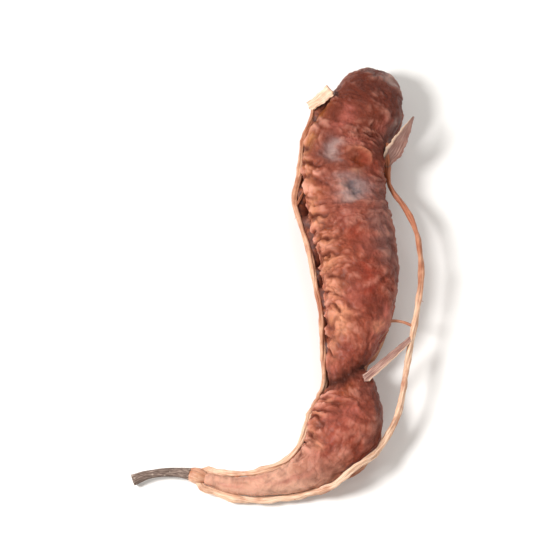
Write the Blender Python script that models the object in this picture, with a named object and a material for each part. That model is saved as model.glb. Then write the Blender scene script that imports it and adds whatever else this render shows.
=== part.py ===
"""A shelled tamarind pod, lying on its side as it would on a table.

The brittle shell is off. What is left is the pulp, swollen over its seeds and drawn out to a thin
neck, the strings, which are the tough veins that ran under the shell, and a stub of the stalk that
the strings spring from.

Lengths are in millimetres and become metres where a mesh is made. The pod lies in the XY plane, +Z
up, its blunt tip towards +Y. A place on the pulp is given by how far it lies along the spine from the
blunt tip, and by its angle round the spine: 0 on the outer side of the bend, 90 degrees on the upper
face, 180 on the inner side and 270 underneath.
"""

import math

import bmesh
import bpy
import numpy as np
from mathutils import Matrix, Vector
from mathutils.bvhtree import BVHTree

MM = 0.001

# The spine from the blunt tip to the neck: x, y and height of the axis, half width, half thickness.
SPINE = np.array(
    [
        (11.4, 53.3, 6.0, 6.3, 4.9),
        (9.7, 48.3, 6.2, 7.2, 5.5),
        (7.2, 41.0, 6.6, 8.4, 6.1),
        (4.6, 37.2, 6.8, 8.6, 6.3),
        (3.4, 33.1, 6.9, 9.0, 6.5),
        (3.1, 25.3, 7.0, 9.3, 6.7),
        (3.9, 17.6, 7.0, 8.9, 6.6),
        (5.7, 9.0, 7.1, 8.8, 6.8),
        (6.3, 0.5, 7.1, 8.3, 6.8),
        (6.0, -6.9, 6.9, 7.2, 6.4),
        (5.0, -11.4, 6.6, 6.2, 5.9),
        (4.1, -15.6, 6.1, 5.2, 5.2),
        (3.2, -20.4, 5.5, 4.7, 4.4),
        (3.9, -23.6, 5.3, 6.0, 4.7),
        (4.2, -27.4, 5.2, 6.9, 5.0),
        (2.7, -34.0, 5.3, 7.9, 5.3),
        (-1.6, -40.3, 5.0, 6.1, 4.6),
        (-7.0, -43.9, 4.4, 3.7, 3.6),
        (-13.5, -45.7, 3.9, 2.5, 2.6),
        (-21.0, -45.9, 3.4, 1.8, 1.95),
        (-28.0, -43.9, 3.1, 1.2, 1.3),
    ]
)
TIP_CAP = 7.0
NECK_CAP = 1.2
SECTION_POWER = 2.3  # a little boxier than an ellipse

# Relief of the pulp.
SEEDS = (11.5, 25.5, 40.0, 54.5, 66.5, 89.5)
SEED_SWELL = 0.9
SEED_REACH = 5.2
SEED_SIDE_SHARE = 0.35  # share of the swelling that shows at the two edges
FOLD_AT = 75.2
FOLD_DEPTH = 1.5
FOLD_REACH = 1.5
FOLD_SLANT = -3.3  # the fold runs up towards the outer side
FOLD_TURN = 1.0  # radians that the slant is turned by
INNER_GROOVE = 0.9
OUTER_GROOVE = 0.35
GROOVE_SPREAD = 0.24  # radians
WRINKLE_DEPTH = 0.34
WRINKLE_PITCH = 3.6
WRINKLE_REACH = 1.2  # radians from the inner groove
WRINKLE_LEAST = 0.18  # share of the depth that is left on the outer side
WRINKLE_LEAN = 1.8  # how far the wrinkles lean as they leave the groove
WRINKLE_DRIFTS = ((1.3, 0.31, 0.0), (0.9, 0.83, 2.0))  # slow waves: size, pace along, pace round
RIDGE_DEPTH = 0.24
RIDGES_ROUND = 5
RIDGE_TWIST = 0.05
RIDGE_SWAY = 1.6
RIDGE_SWAY_PACE = 0.13
KNOLLS_ROUND = 3
KNOLL_TWIST = -0.21
KNOLL_PACE = 0.37
FULL_RELIEF_WIDTH = 7.0  # relief fades where the pulp is narrower than this half width
FADE_POWER = 1.5

# Mesh fineness of the pulp, and the reach over which its slope is read.
ROUND_STEPS = 36
LONG_STEPS = 118
CROWDING = 0.2  # how much closer the rings stand towards both ends
SLOPE_REACH = 0.6
SLOPE_TURN = 0.08  # radians
AXIS_STEP = 0.05

# Strings.
STRING_GAP = 0.42  # between a string and the pulp that it lies on
TABLE_GAP = 0.15  # under the lowest strings
STRING_RADIUS = 0.68
THIN_RADIUS = 0.45
INNER_RADII = (0.55, 0.76)
STEP_ALONG = 2.0
DEGREE_LENGTH = 0.1  # about how far one degree reaches round the pulp
BRANCH_STEP = 1.6
KNOT_SIZE = 0.06
COLLAR_RADIUS = 1.9
COLLAR_LENGTH = 2.6
STRING_SIDES = 2  # bevel resolution, 8 sides
BRANCH_SIDES = 1  # bevel resolution, 6 sides

# Routes that follow the pulp: along the spine, angle in degrees, extra lift.
INNER_ROUTE = (
    (17.5, 161.0, 0.1),
    (22.0, 167.0, 0.1),
    (26.5, 174.0, 0.1),
    (29.5, 178.0, 1.0),
    (32.5, 181.0, 2.5),
    (36.5, 181.0, 2.1),
    (41.0, 181.0, 1.5),
    (47.0, 179.0, 1.5),
    (55.0, 178.0, 1.2),
    (62.0, 178.0, 0.9),
    (70.0, 178.0, 0.4),
    (79.0, 178.0, 0.2),
    (100.0, 176.0, 0.3),
    (114.0, 172.0, 0.1),
    (123.0, 170.0, 0.0),
)
BOW_START = ((16.0, 24.0, 0.0), (22.0, 15.0, 0.0), (28.0, 6.0, 0.1))
BOW_END = (
    (90.5, 8.0, 0.2),
    (92.8, 20.0, 0.1),
    (95.0, 28.0, 0.1),
    (97.0, 24.0, 0.0),
    (99.5, 6.0, 0.0),
    (102.5, -14.0, 0.0),
    (106.5, -28.0, 0.0),
    (113.0, -34.0, 0.0),
    (119.0, -32.0, 0.0),
    (123.5, -20.0, 0.0),
)
UNDER_ROUTE = (
    (14.0, 314.0, 0.0),
    (32.0, 318.0, 0.0),
    (52.0, 314.0, 0.0),
    (68.0, 318.0, 0.0),
    (78.0, 308.0, 0.2),
    (89.0, 314.0, 0.0),
    (98.0, 320.0, 0.0),
    (106.5, 332.0, 0.0),
)
# Twigs of the under string: which of its points, then the along and the angle of the foot.
UNDER_TWIGS = ((9, 34.0, 340.0), (17, 44.0, 338.0))

# The free bow of the outer string, as places.
BOW = (
    (13.2, 23.7, 7.6),
    (15.6, 20.2, 7.8),
    (17.6, 16.8, 7.9),
    (18.9, 13.4, 8.0),
    (19.8, 8.0, 8.1),
    (20.0, 1.4, 8.2),
    (19.2, -5.4, 8.0),
    (18.3, -10.2, 7.8),
    (17.8, -12.8, 7.7),
    (17.1, -16.6, 7.5),
    (16.5, -20.4, 7.3),
    (15.6, -26.0, 6.9),
    (14.3, -31.4, 6.5),
    (12.4, -35.2, 6.4),
)

# Side branches: the point of the bow that each leaves, its foot on the pulp, its sag and its end radii.
THIN_BRANCH_ROOT = 7
THIN_BRANCH_FOOT = (63.0, 12.0)
THIN_BRANCH_SAG = (0.0, 0.8, -0.3)
THIN_BRANCH_RADII = (0.5, 0.42)
WIDE_BRANCH_ROOT = 8
WIDE_BRANCH_FOOT = (79.5, 58.0)
WIDE_BRANCH_SAG = (0.8, 0.6, 0.2)
WIDE_BRANCH_RADII = (0.6, 0.85)
TWIG_SAG = (0.0, 0.0, 0.3)
TWIG_RADII = (0.42, 0.34)
FOOT_LIFT = 0.8
WIDE_FOOT_LIFT = 1.0

# The torn tab at the far end of the inner string.
TAB_CENTRE = (-2.2, 44.1, 10.6)
TAB_WAY = (0.8, 0.5, 0.4)
TAB_SIZE = (5.6, 2.9, 1.1)
TAB_ROOT = (-2.1, -0.2)  # where the string starts: along the tab from its centre, and up

# Stalk.
STALK_ROUTE = ((0.0, 0.0), (2.6, 0.2), (5.6, 0.9), (8.8, 2.3), (11.6, 4.4))  # away from the collar, aside
STALK_RADII = (1.55, 1.2, 1.05, 1.1, 1.35)
STALK_END_HEIGHT = 1.9
STALK_STEP = 1.4
JOINT_GAP = 0.3

PULP_COLOUR = (0.36, 0.105, 0.06, 1.0)
STRING_COLOUR = (0.72, 0.42, 0.24, 1.0)
STALK_COLOUR = (0.19, 0.14, 0.11, 1.0)

UP = np.array((0.0, 0.0, 1.0))


# ------------------------------------------------------------------ curves through points


def distances(points):
    """How far each point lies along the chain of points."""
    steps = np.linalg.norm(np.diff(points, axis=0), axis=1)
    return np.concatenate([[0.0], np.cumsum(steps)])


def smooth(knots, values, at):
    """A smooth curve through values at their knots, read at the places given."""
    at = np.atleast_1d(np.asarray(at, float))
    slope = np.gradient(values, knots, axis=0)
    i = np.clip(np.searchsorted(knots, at) - 1, 0, len(knots) - 2)
    span = knots[i + 1] - knots[i]
    u = (at - knots[i]) / span
    if values.ndim > 1:
        u, span = u[:, None], span[:, None]
    start = (1 + 2 * u) * (1 - u) ** 2 * values[i] + u * (1 - u) ** 2 * span * slope[i]
    end = u**2 * (3 - 2 * u) * values[i + 1] - u**2 * (1 - u) * span * slope[i + 1]
    return start + end


def resampled(points, step):
    """Points a step apart on the smooth curve through the given ones."""
    points = np.asarray(points, float)
    knots = distances(points)
    count = max(2, round(knots[-1] / step) + 1)
    return smooth(knots, points, np.linspace(0.0, knots[-1], count))


SPINE_AT = distances(SPINE[:, :3])
LENGTH = SPINE_AT[-1]


# ------------------------------------------------------------------ surface of the pulp


def cap(distance, length):
    """Rounds an end off: 0 at the end, 1 from this length on."""
    share = np.clip(distance / length, 0.0, 1.0)
    return np.sqrt(1.0 - (1.0 - share) ** 2)


def bump(distance, reach):
    return np.exp(-((distance / reach) ** 2))


def turn_from(angle, centre):
    """The angle's turn away from a centre, between minus pi and pi."""
    return (angle - centre + math.pi) % (2 * math.pi) - math.pi


def relief(along, angle):
    """Height of the seeds' swellings, the fold, the grooves and the wrinkles, along the way out."""
    inner = turn_from(angle, math.pi)
    outer = turn_from(angle, 0.0)
    on_face = SEED_SIDE_SHARE + (1.0 - SEED_SIDE_SHARE) * np.abs(np.sin(angle))
    height = sum(SEED_SWELL * bump(along - seed, SEED_REACH) for seed in SEEDS) * on_face
    height -= FOLD_DEPTH * bump(along - FOLD_AT - FOLD_SLANT * np.cos(angle + FOLD_TURN), FOLD_REACH)
    height -= INNER_GROOVE * bump(inner, GROOVE_SPREAD)
    height -= OUTER_GROOVE * bump(outer, GROOVE_SPREAD)
    # Cross wrinkles start at the inner groove and fade over the faces.
    drift = sum(size * np.sin(pace * along + turn * angle) for size, pace, turn in WRINKLE_DRIFTS)
    wrinkle = np.sin(2 * math.pi * along / WRINKLE_PITCH + drift + WRINKLE_LEAN * np.abs(inner))
    near_groove = WRINKLE_LEAST + (1.0 - WRINKLE_LEAST) * bump(inner, WRINKLE_REACH)
    height += WRINKLE_DEPTH * wrinkle * near_groove
    # Long soft ridges wander along the rest, with low knolls between them.
    sway = RIDGE_SWAY * np.sin(RIDGE_SWAY_PACE * along)
    height += RIDGE_DEPTH * np.sin(RIDGES_ROUND * angle + sway + RIDGE_TWIST * along)
    knolls = np.sin(KNOLLS_ROUND * angle + KNOLL_TWIST * along)
    height += RIDGE_DEPTH * knolls * np.sin(KNOLL_PACE * along + 1.0)
    return height


def pulp_points(along, angle):
    """Points of the pulp's surface, before the table presses it flat."""
    along = np.atleast_1d(np.asarray(along, float))
    angle = np.atleast_1d(np.asarray(angle, float))
    row = smooth(SPINE_AT, SPINE, along)
    before = smooth(SPINE_AT, SPINE[:, :3], np.clip(along - AXIS_STEP, 0.0, LENGTH))
    after = smooth(SPINE_AT, SPINE[:, :3], np.clip(along + AXIS_STEP, 0.0, LENGTH))
    ahead = after - before
    ahead /= np.linalg.norm(ahead, axis=1)[:, None]
    outward = np.cross(UP, ahead)
    outward /= np.linalg.norm(outward, axis=1)[:, None]
    upward = np.cross(ahead, outward)
    ends = cap(along, TIP_CAP) * cap(LENGTH - along, NECK_CAP)
    c, s = np.cos(angle), np.sin(angle)
    box = (np.abs(c) ** SECTION_POWER + np.abs(s) ** SECTION_POWER) ** (-1.0 / SECTION_POWER)
    fade = np.clip(row[:, 3] / FULL_RELIEF_WIDTH, 0.0, 1.0) ** FADE_POWER
    height = relief(along, angle) * fade
    across = (row[:, 3] * box + height) * ends * c
    above = (row[:, 4] * box + height) * ends * s
    return row[:, :3] + across[:, None] * outward + above[:, None] * upward


def lifted(along, angle, lift):
    """Points that stand off the pulp's surface by a lift, square to it."""
    along = np.atleast_1d(np.asarray(along, float))
    angle = np.atleast_1d(np.asarray(angle, float))
    further = pulp_points(np.clip(along + SLOPE_REACH, 0.0, LENGTH), angle)
    nearer = pulp_points(np.clip(along - SLOPE_REACH, 0.0, LENGTH), angle)
    roundwise = pulp_points(along, angle + SLOPE_TURN) - pulp_points(along, angle - SLOPE_TURN)
    out = np.cross(roundwise, further - nearer)
    out /= np.linalg.norm(out, axis=1)[:, None]
    return pulp_points(along, angle) + np.atleast_1d(lift)[:, None] * out


# ------------------------------------------------------------------ Blender helpers


def clear_scene():
    for obj in list(bpy.data.objects):
        bpy.data.objects.remove(obj, do_unlink=True)


def new_collection(name):
    collection = bpy.data.collections.new(name)
    bpy.context.scene.collection.children.link(collection)
    return collection


def new_material(name, colour, roughness):
    material = bpy.data.materials.new(name)
    material.use_nodes = True
    shader = material.node_tree.nodes["Principled BSDF"]
    shader.inputs["Base Color"].default_value = colour
    shader.inputs["Roughness"].default_value = roughness
    shader.inputs["Metallic"].default_value = 0.0
    return material


def add_object(name, mesh, collection, material=None):
    obj = bpy.data.objects.new(name, mesh)
    collection.objects.link(obj)
    if material:
        mesh.materials.clear()
        mesh.materials.append(material)
    return obj


def tube(name, points, radii, collection, sides=STRING_SIDES):
    """A closed round tube along the points, with a radius for each of them, as a mesh object."""
    curve = bpy.data.curves.new(name, "CURVE")
    curve.dimensions = "3D"
    curve.bevel_depth = MM
    curve.bevel_resolution = sides
    curve.use_fill_caps = True
    spline = curve.splines.new("POLY")
    spline.points.add(len(points) - 1)
    for point, place, radius in zip(spline.points, points, radii):
        point.co = (*(np.asarray(place) * MM), 1.0)
        point.radius = radius
    guide = add_object(name + "_guide", curve, collection)
    graph = bpy.context.evaluated_depsgraph_get()
    mesh = bpy.data.meshes.new_from_object(guide.evaluated_get(graph))
    mesh.name = name
    made = add_object(name, mesh, collection)
    made.matrix_world = guide.matrix_world
    bpy.data.objects.remove(guide)
    weld = bmesh.new()
    weld.from_mesh(mesh)
    bmesh.ops.remove_doubles(weld, verts=weld.verts, dist=0.00001)
    bmesh.ops.recalc_face_normals(weld, faces=weld.faces)
    weld.to_mesh(mesh)
    weld.free()
    return made


def united(name, pieces, collection, material):
    """One mesh object from overlapping pieces, which are removed."""
    others = new_collection(name + "_pieces")
    for piece in pieces[1:]:
        collection.objects.unlink(piece)
        others.objects.link(piece)
    base = pieces[0]
    join = base.modifiers.new("join", "BOOLEAN")
    join.operation = "UNION"
    join.operand_type = "COLLECTION"
    join.collection = others
    join.solver = "MANIFOLD"
    graph = bpy.context.evaluated_depsgraph_get()
    mesh = bpy.data.meshes.new_from_object(base.evaluated_get(graph))
    for piece in pieces:
        bpy.data.objects.remove(piece)
    bpy.data.collections.remove(others)
    mesh.name = name
    return add_object(name, mesh, collection, material)


# ------------------------------------------------------------------ pulp


def make_pulp(collection, material):
    """A ball drawn out along the spine, raised by the relief and pressed flat where it meets the table."""
    ball = bmesh.new()
    bmesh.ops.create_uvsphere(ball, u_segments=ROUND_STEPS, v_segments=LONG_STEPS, radius=1.0)
    places = np.array([v.co for v in ball.verts])
    latitude = np.arccos(np.clip(places[:, 2], -1.0, 1.0)) / math.pi
    # Rings stand closer together towards both ends.
    crowded = (1 - np.cos(latitude * math.pi)) / 2
    along = LENGTH * (latitude + CROWDING * (crowded - latitude))
    # The spine runs against the ball's axis, so the angle is turned round to keep the faces outward.
    angle = np.arctan2(-places[:, 1], places[:, 0])
    points = pulp_points(along, angle)
    points[:, 2] = np.maximum(points[:, 2], 0.0)
    for vertex, point in zip(ball.verts, points):
        vertex.co = Vector(point * MM)
    mesh = bpy.data.meshes.new("pulp")
    ball.to_mesh(mesh)
    ball.free()
    mesh.shade_smooth()
    return add_object("pulp", mesh, collection, material)


# ------------------------------------------------------------------ strings


def neck_frame():
    """The end of the spine, the way on from it and the way to its outer side."""
    end = SPINE[-1, :3]
    ahead = end - SPINE[-2, :3]
    ahead /= np.linalg.norm(ahead)
    outward = np.cross(UP, ahead)
    outward /= np.linalg.norm(outward)
    return end, ahead, outward


def collar_centre():
    end, ahead, _ = neck_frame()
    return end + ahead * (JOINT_GAP + COLLAR_LENGTH / 2)


def surface_tree(obj):
    mesh = obj.data
    corners = [v.co / MM for v in mesh.vertices]
    return BVHTree.FromPolygons(corners, [p.vertices[:] for p in mesh.polygons])


def softened(points, times=3):
    """The same chain of points with its small turns eased, its ends kept."""
    points = points.copy()
    for _ in range(times):
        points[1:-1] = 0.25 * points[:-2] + 0.5 * points[1:-1] + 0.25 * points[2:]
    return points


def kept_clear(points, radii, pulp):
    """Moves each point out until a tube of its radius stands clear of the pulp and of the table."""
    moved = []
    for place, radius in zip(points, radii):
        place = Vector(place)
        floor = radius + TABLE_GAP
        for _ in range(8):
            place.z = max(place.z, floor)
            near, normal, _, distance = pulp.find_nearest(place)
            if (place - near).dot(normal) < 0:
                way, short = normal.copy(), radius + STRING_GAP + distance
            else:
                way, short = (place - near).normalized(), radius + STRING_GAP - distance
            if short <= 0:
                break
            if place.z <= floor:
                way.z = max(way.z, 0.0)
            place += way.normalized() * short
        moved.append(place)
    return np.array(moved)


def on_pulp(route, radius):
    """Points a step apart that follow the pulp. A route gives along, angle in degrees and extra lift."""
    lengths = np.array(route, float) * (1.0, DEGREE_LENGTH, 1.0)
    along, turn, lift = resampled(lengths, STEP_ALONG).T
    return lifted(along, np.radians(turn / DEGREE_LENGTH), lift + radius + STRING_GAP)


def string(name, points, start, end, pulp, collection, sides=STRING_SIDES):
    """A tapering string with small knots, kept clear of the pulp except inside the collar."""
    at = np.arange(len(points))
    knots = 1.0 + KNOT_SIZE * np.sin(1.9 * at) + KNOT_SIZE * np.sin(0.7 * at + 1.0)
    radii = np.linspace(start, end, len(points)) * knots
    points = kept_clear(softened(points), radii, pulp)
    return tube(name, points, radii, collection, sides)


def make_collar(collection):
    """The small flattened knob at the neck where all the strings meet."""
    _, ahead, _ = neck_frame()
    ball = bmesh.new()
    bmesh.ops.create_uvsphere(ball, u_segments=16, v_segments=10, radius=1.0)
    shape = Matrix.Diagonal((COLLAR_RADIUS * MM, COLLAR_RADIUS * MM, COLLAR_LENGTH / 2 * MM, 1.0))
    turn = Vector(ahead).to_track_quat("Z", "Y").to_matrix().to_4x4()
    place = Matrix.Translation(Vector(collar_centre() * MM))
    bmesh.ops.transform(ball, matrix=place @ turn @ shape, verts=ball.verts)
    mesh = bpy.data.meshes.new("collar")
    ball.to_mesh(mesh)
    ball.free()
    return add_object("collar", mesh, collection)


def make_torn_tab(collection):
    """The flat, torn end of the inner string: a slab that narrows to one end and is dished a little."""
    slab = bmesh.new()
    bmesh.ops.create_cube(slab, size=1.0)
    bmesh.ops.subdivide_edges(slab, edges=slab.edges[:], cuts=3, use_grid_fill=True)
    for vertex in slab.verts:
        x, y, z = vertex.co
        vertex.co.x = x + 0.12 * math.sin(9.0 * y) * (x + 0.5)
        vertex.co.y = y * (0.78 + 0.34 * x) * (1.0 - 0.35 * (2 * z) ** 2)
        vertex.co.z = z + 0.9 * y * y + 0.35 * x * x
    turn = Vector(TAB_WAY).to_track_quat("X", "Z").to_matrix().to_4x4()
    shape = Matrix.Diagonal((*(side * MM for side in TAB_SIZE), 1.0))
    place = Matrix.Translation(Vector(TAB_CENTRE) * MM)
    bmesh.ops.transform(slab, matrix=place @ turn @ shape, verts=slab.verts)
    bmesh.ops.recalc_face_normals(slab, faces=slab.faces)
    mesh = bpy.data.meshes.new("torn_tab")
    slab.to_mesh(mesh)
    slab.free()
    return add_object("torn_tab", mesh, collection)


def branch(name, start, end, sag, radii, pulp, collection):
    """A side branch that leaves a string at its start and ends beside the pulp, bowed by the sag."""
    start, end, sag = np.array(start, float), np.array(end, float), np.array(sag, float)
    count = max(4, round(np.linalg.norm(end - start) / BRANCH_STEP) + 1)
    share = np.linspace(0.0, 1.0, count)[:, None]
    points = start + (end - start) * share + sag * 4 * share * (1 - share)
    widths = np.linspace(radii[0], radii[1], len(points))
    return tube(name, kept_clear(points, widths, pulp), widths, collection, BRANCH_SIDES)


def make_strings(collection, pulp, material):
    pieces = [make_collar(collection)]

    # The inner string lies along its groove from the shoulder to the neck.
    way = np.array(TAB_WAY) / np.linalg.norm(TAB_WAY)
    root = np.array(TAB_CENTRE) + TAB_ROOT[0] * way + TAB_ROOT[1] * UP
    inner = np.vstack([root, on_pulp(INNER_ROUTE, STRING_RADIUS), collar_centre()])
    inner = resampled(inner, STEP_ALONG)
    pieces.append(string("inner_string", inner, *INNER_RADII, pulp, collection))
    pieces.append(make_torn_tab(collection))

    # The outer string has come away from the pulp in a long bow.
    bow_start = on_pulp(BOW_START, THIN_RADIUS)
    bow_end = on_pulp(BOW_END, STRING_RADIUS)
    outer = resampled(np.vstack([bow_start, np.array(BOW), bow_end, collar_centre()]), STEP_ALONG)
    pieces.append(string("outer_string", outer, THIN_RADIUS, STRING_RADIUS, pulp, collection))

    # Two branches still reach from the bow to the pulp, one thin and one wide.
    along, turn = THIN_BRANCH_FOOT
    foot = lifted(along, math.radians(turn), FOOT_LIFT)[0]
    root = BOW[THIN_BRANCH_ROOT]
    made = branch("thin_branch", root, foot, THIN_BRANCH_SAG, THIN_BRANCH_RADII, pulp, collection)
    pieces.append(made)
    along, turn = WIDE_BRANCH_FOOT
    foot = lifted(along, math.radians(turn), WIDE_FOOT_LIFT)[0]
    root = BOW[WIDE_BRANCH_ROOT]
    made = branch("wide_branch", root, foot, WIDE_BRANCH_SAG, WIDE_BRANCH_RADII, pulp, collection)
    pieces.append(made)

    # A third string follows the pulp low on its outer side, mostly out of sight, and ends in the outer one.
    under = on_pulp(UNDER_ROUTE, THIN_RADIUS)
    pieces.append(string("under_string", under, THIN_RADIUS, STRING_RADIUS, pulp, collection))
    for number, (index, reach, turn) in enumerate(UNDER_TWIGS):
        root = softened(under)[index]
        foot = lifted(reach, math.radians(turn), FOOT_LIFT)[0]
        pieces.append(branch(f"twig_{number}", root, foot, TWIG_SAG, TWIG_RADII, pulp, collection))

    return united("strings", pieces, collection, material)


# ------------------------------------------------------------------ stalk


def make_stalk(collection, material):
    """A short woody stub, swollen at its foot and at the scar where it broke off."""
    _, ahead, outward = neck_frame()
    foot = collar_centre() + ahead * (COLLAR_LENGTH / 2 + JOINT_GAP)
    reach = STALK_ROUTE[-1][0]
    points = []
    for on, aside in STALK_ROUTE:
        point = foot + ahead * on + outward * aside
        point[2] = foot[2] + (STALK_END_HEIGHT - foot[2]) * on / reach
        points.append(point)
    points = np.array(points)
    knots = distances(points)
    route = resampled(points, STALK_STEP)
    radii = smooth(knots, np.array(STALK_RADII), distances(route) * knots[-1] / distances(route)[-1])
    stalk = tube("stalk", route, radii, collection, sides=3)
    stalk.data.materials.append(material)
    return stalk


# ------------------------------------------------------------------ the pod


def centre_over_origin(collection):
    """Moves every mesh by one step, so that the middle of the whole pod's box stands over the origin."""
    places = [vertex.co for obj in collection.objects for vertex in obj.data.vertices]
    middle = [(min(p[axis] for p in places) + max(p[axis] for p in places)) / 2 for axis in (0, 1)]
    for obj in collection.objects:
        obj.data.transform(Matrix.Translation((-middle[0], -middle[1], 0.0)))


def main():
    clear_scene()
    collection = new_collection("tamarind_pod")
    pulp = make_pulp(collection, new_material("dried_pulp", PULP_COLOUR, 0.55))
    make_strings(collection, surface_tree(pulp), new_material("dry_string", STRING_COLOUR, 0.7))
    make_stalk(collection, new_material("stalk_bark", STALK_COLOUR, 0.85))
    centre_over_origin(collection)


main()
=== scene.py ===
"""The looks of a shelled tamarind pod: sticky wrinkled pulp, tough strings and a stub of woody stalk.

Lengths are in millimetres and become metres where a mesh is made. A place on the pulp is given by how
far it lies along the spine from the blunt tip, and by its angle round the spine: 0 on the outer side
of the bend, 90 degrees on the upper face, 180 on the inner side and 270 underneath.
"""

import math
from functools import partial

import bmesh
import bpy
import numpy as np
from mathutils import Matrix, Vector
from mathutils.bvhtree import BVHTree


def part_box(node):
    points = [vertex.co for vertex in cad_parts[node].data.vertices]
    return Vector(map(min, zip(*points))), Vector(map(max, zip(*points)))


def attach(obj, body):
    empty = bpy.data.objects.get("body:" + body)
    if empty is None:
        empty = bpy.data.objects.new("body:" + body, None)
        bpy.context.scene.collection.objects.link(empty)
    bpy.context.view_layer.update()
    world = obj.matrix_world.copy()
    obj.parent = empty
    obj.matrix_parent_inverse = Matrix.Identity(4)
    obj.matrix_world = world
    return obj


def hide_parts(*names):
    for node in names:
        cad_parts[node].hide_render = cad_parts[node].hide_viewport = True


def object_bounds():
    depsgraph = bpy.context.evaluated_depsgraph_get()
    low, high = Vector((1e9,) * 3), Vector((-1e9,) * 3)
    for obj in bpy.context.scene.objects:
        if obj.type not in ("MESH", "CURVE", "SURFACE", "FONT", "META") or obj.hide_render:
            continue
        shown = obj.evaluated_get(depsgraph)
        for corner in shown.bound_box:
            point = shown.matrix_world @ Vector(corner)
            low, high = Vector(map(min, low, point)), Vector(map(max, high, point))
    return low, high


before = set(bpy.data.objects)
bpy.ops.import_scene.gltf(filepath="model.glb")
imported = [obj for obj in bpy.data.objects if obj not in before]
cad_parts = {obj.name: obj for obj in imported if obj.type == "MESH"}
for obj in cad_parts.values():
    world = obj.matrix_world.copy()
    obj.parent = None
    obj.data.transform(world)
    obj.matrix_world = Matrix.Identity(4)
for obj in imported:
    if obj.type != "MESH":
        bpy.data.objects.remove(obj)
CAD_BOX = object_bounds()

MM = 0.001
UP = np.array((0.0, 0.0, 1.0))
SEED = 11

# The form of the pulp, as the solid has it: x, y and height of the axis, half width, half thickness.
SPINE = np.array(
    [
        (11.4, 53.3, 6, 6.3, 4.9), (9.7, 48.3, 6.2, 7.2, 5.5), (7.2, 41, 6.6, 8.4, 6.1),
        (4.6, 37.2, 6.8, 8.6, 6.3), (3.4, 33.1, 6.9, 9, 6.5), (3.1, 25.3, 7, 9.3, 6.7),
        (3.9, 17.6, 7, 8.9, 6.6), (5.7, 9, 7.1, 8.8, 6.8), (6.3, 0.5, 7.1, 8.3, 6.8),
        (6, -6.9, 6.9, 7.2, 6.4), (5, -11.4, 6.6, 6.2, 5.9), (4.1, -15.6, 6.1, 5.2, 5.2),
        (3.2, -20.4, 5.5, 4.7, 4.4), (3.9, -23.6, 5.3, 6, 4.7), (4.2, -27.4, 5.2, 6.9, 5),
        (2.7, -34, 5.3, 7.9, 5.3), (-1.6, -40.3, 5, 6.1, 4.6), (-7, -43.9, 4.4, 3.7, 3.6),
        (-13.5, -45.7, 3.9, 2.5, 2.6), (-21, -45.9, 3.4, 1.8, 1.95), (-28, -43.9, 3.1, 1.2, 1.3),
    ]
)
TIP_CAP = 7.0
NECK_CAP = 1.2
SECTION_POWER = 2.3  # a little boxier than an ellipse
SEEDS = (11.5, 25.5, 40.0, 54.5, 66.5, 89.5)
SEED_SWELL = 0.9
SEED_REACH = 5.2
SEED_SIDE_SHARE = 0.35  # share of the swelling that shows at the two edges
FOLD_AT = 75.2
FOLD_DEPTH = 1.5
FOLD_REACH = 1.5
FOLD_SLANT = -3.3  # the fold runs up towards the outer side
FOLD_TURN = 1.0  # radians that the slant is turned by
INNER_GROOVE = 0.9
OUTER_GROOVE = 0.35
GROOVE_SPREAD = 0.24  # radians
FULL_RELIEF_WIDTH = 7.0  # relief fades where the pulp is narrower than this half width
FADE_POWER = 1.5

# Dents and, with a depth below 0, bumps of this pod: along, angle, reach along, reach in degrees, depth.
OWN_DENTS = (
    (27.2, 73, 1.2, 8, 1.4), (29.6, 70, 1.2, 8, -0.35), (34.3, 80, 3, 18, 0.45),
    (33.5, 83.5, 0.8, 4.5, 0.5), (35.1, 78, 0.8, 4.5, 0.5), (24.4, 105, 1.6, 8, 0.4),
    (27.2, 99, 0.8, 4.5, 0.5), (28.6, 17, 1.8, 9, 0.8), (19, 58, 1.2, 9, 0.5), (15, 62, 1, 7, 0.4),
    (16.6, 152, 1.1, 9, 0.6), (11.6, 163, 0.9, 9, 0.7), (28, 154, 1.2, 7, 0.7),
    (35.4, 116, 0.9, 5, 0.4), (43.2, 132, 0.7, 16, 0.5), (48.2, 120, 0.8, 7, 0.4),
    (70, 150, 1, 12, 0.6), (93, 124, 1, 10, 0.6), (98.2, 140, 0.7, 22, 0.6), (22.8, 158, 1.6, 10, -0.4),
    (31.4, 150, 1.8, 10, -0.4), (39.4, 140, 1.7, 11, -0.5), (66, 112, 1.7, 14, -0.35),
    (90, 140, 1.4, 12, -0.4),
)
# Ridges of this pod that bend round a place: along, angle, half width there, radius, then the way that
# the ridge faces and how far it reaches round, both in degrees.
SHOULDER_ARC = (27.2, 72.0, 9.0, 2.6, 58.0, 70.0)
SHOULDER_ARC_HEIGHT = 1.25
LOBE_ARC = (87.6, 100.0, 6.8, 3.2, 65.0, 62.0)
LOBE_ARC_HEIGHT = 0.6
ARC_REACH = 0.6

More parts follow.
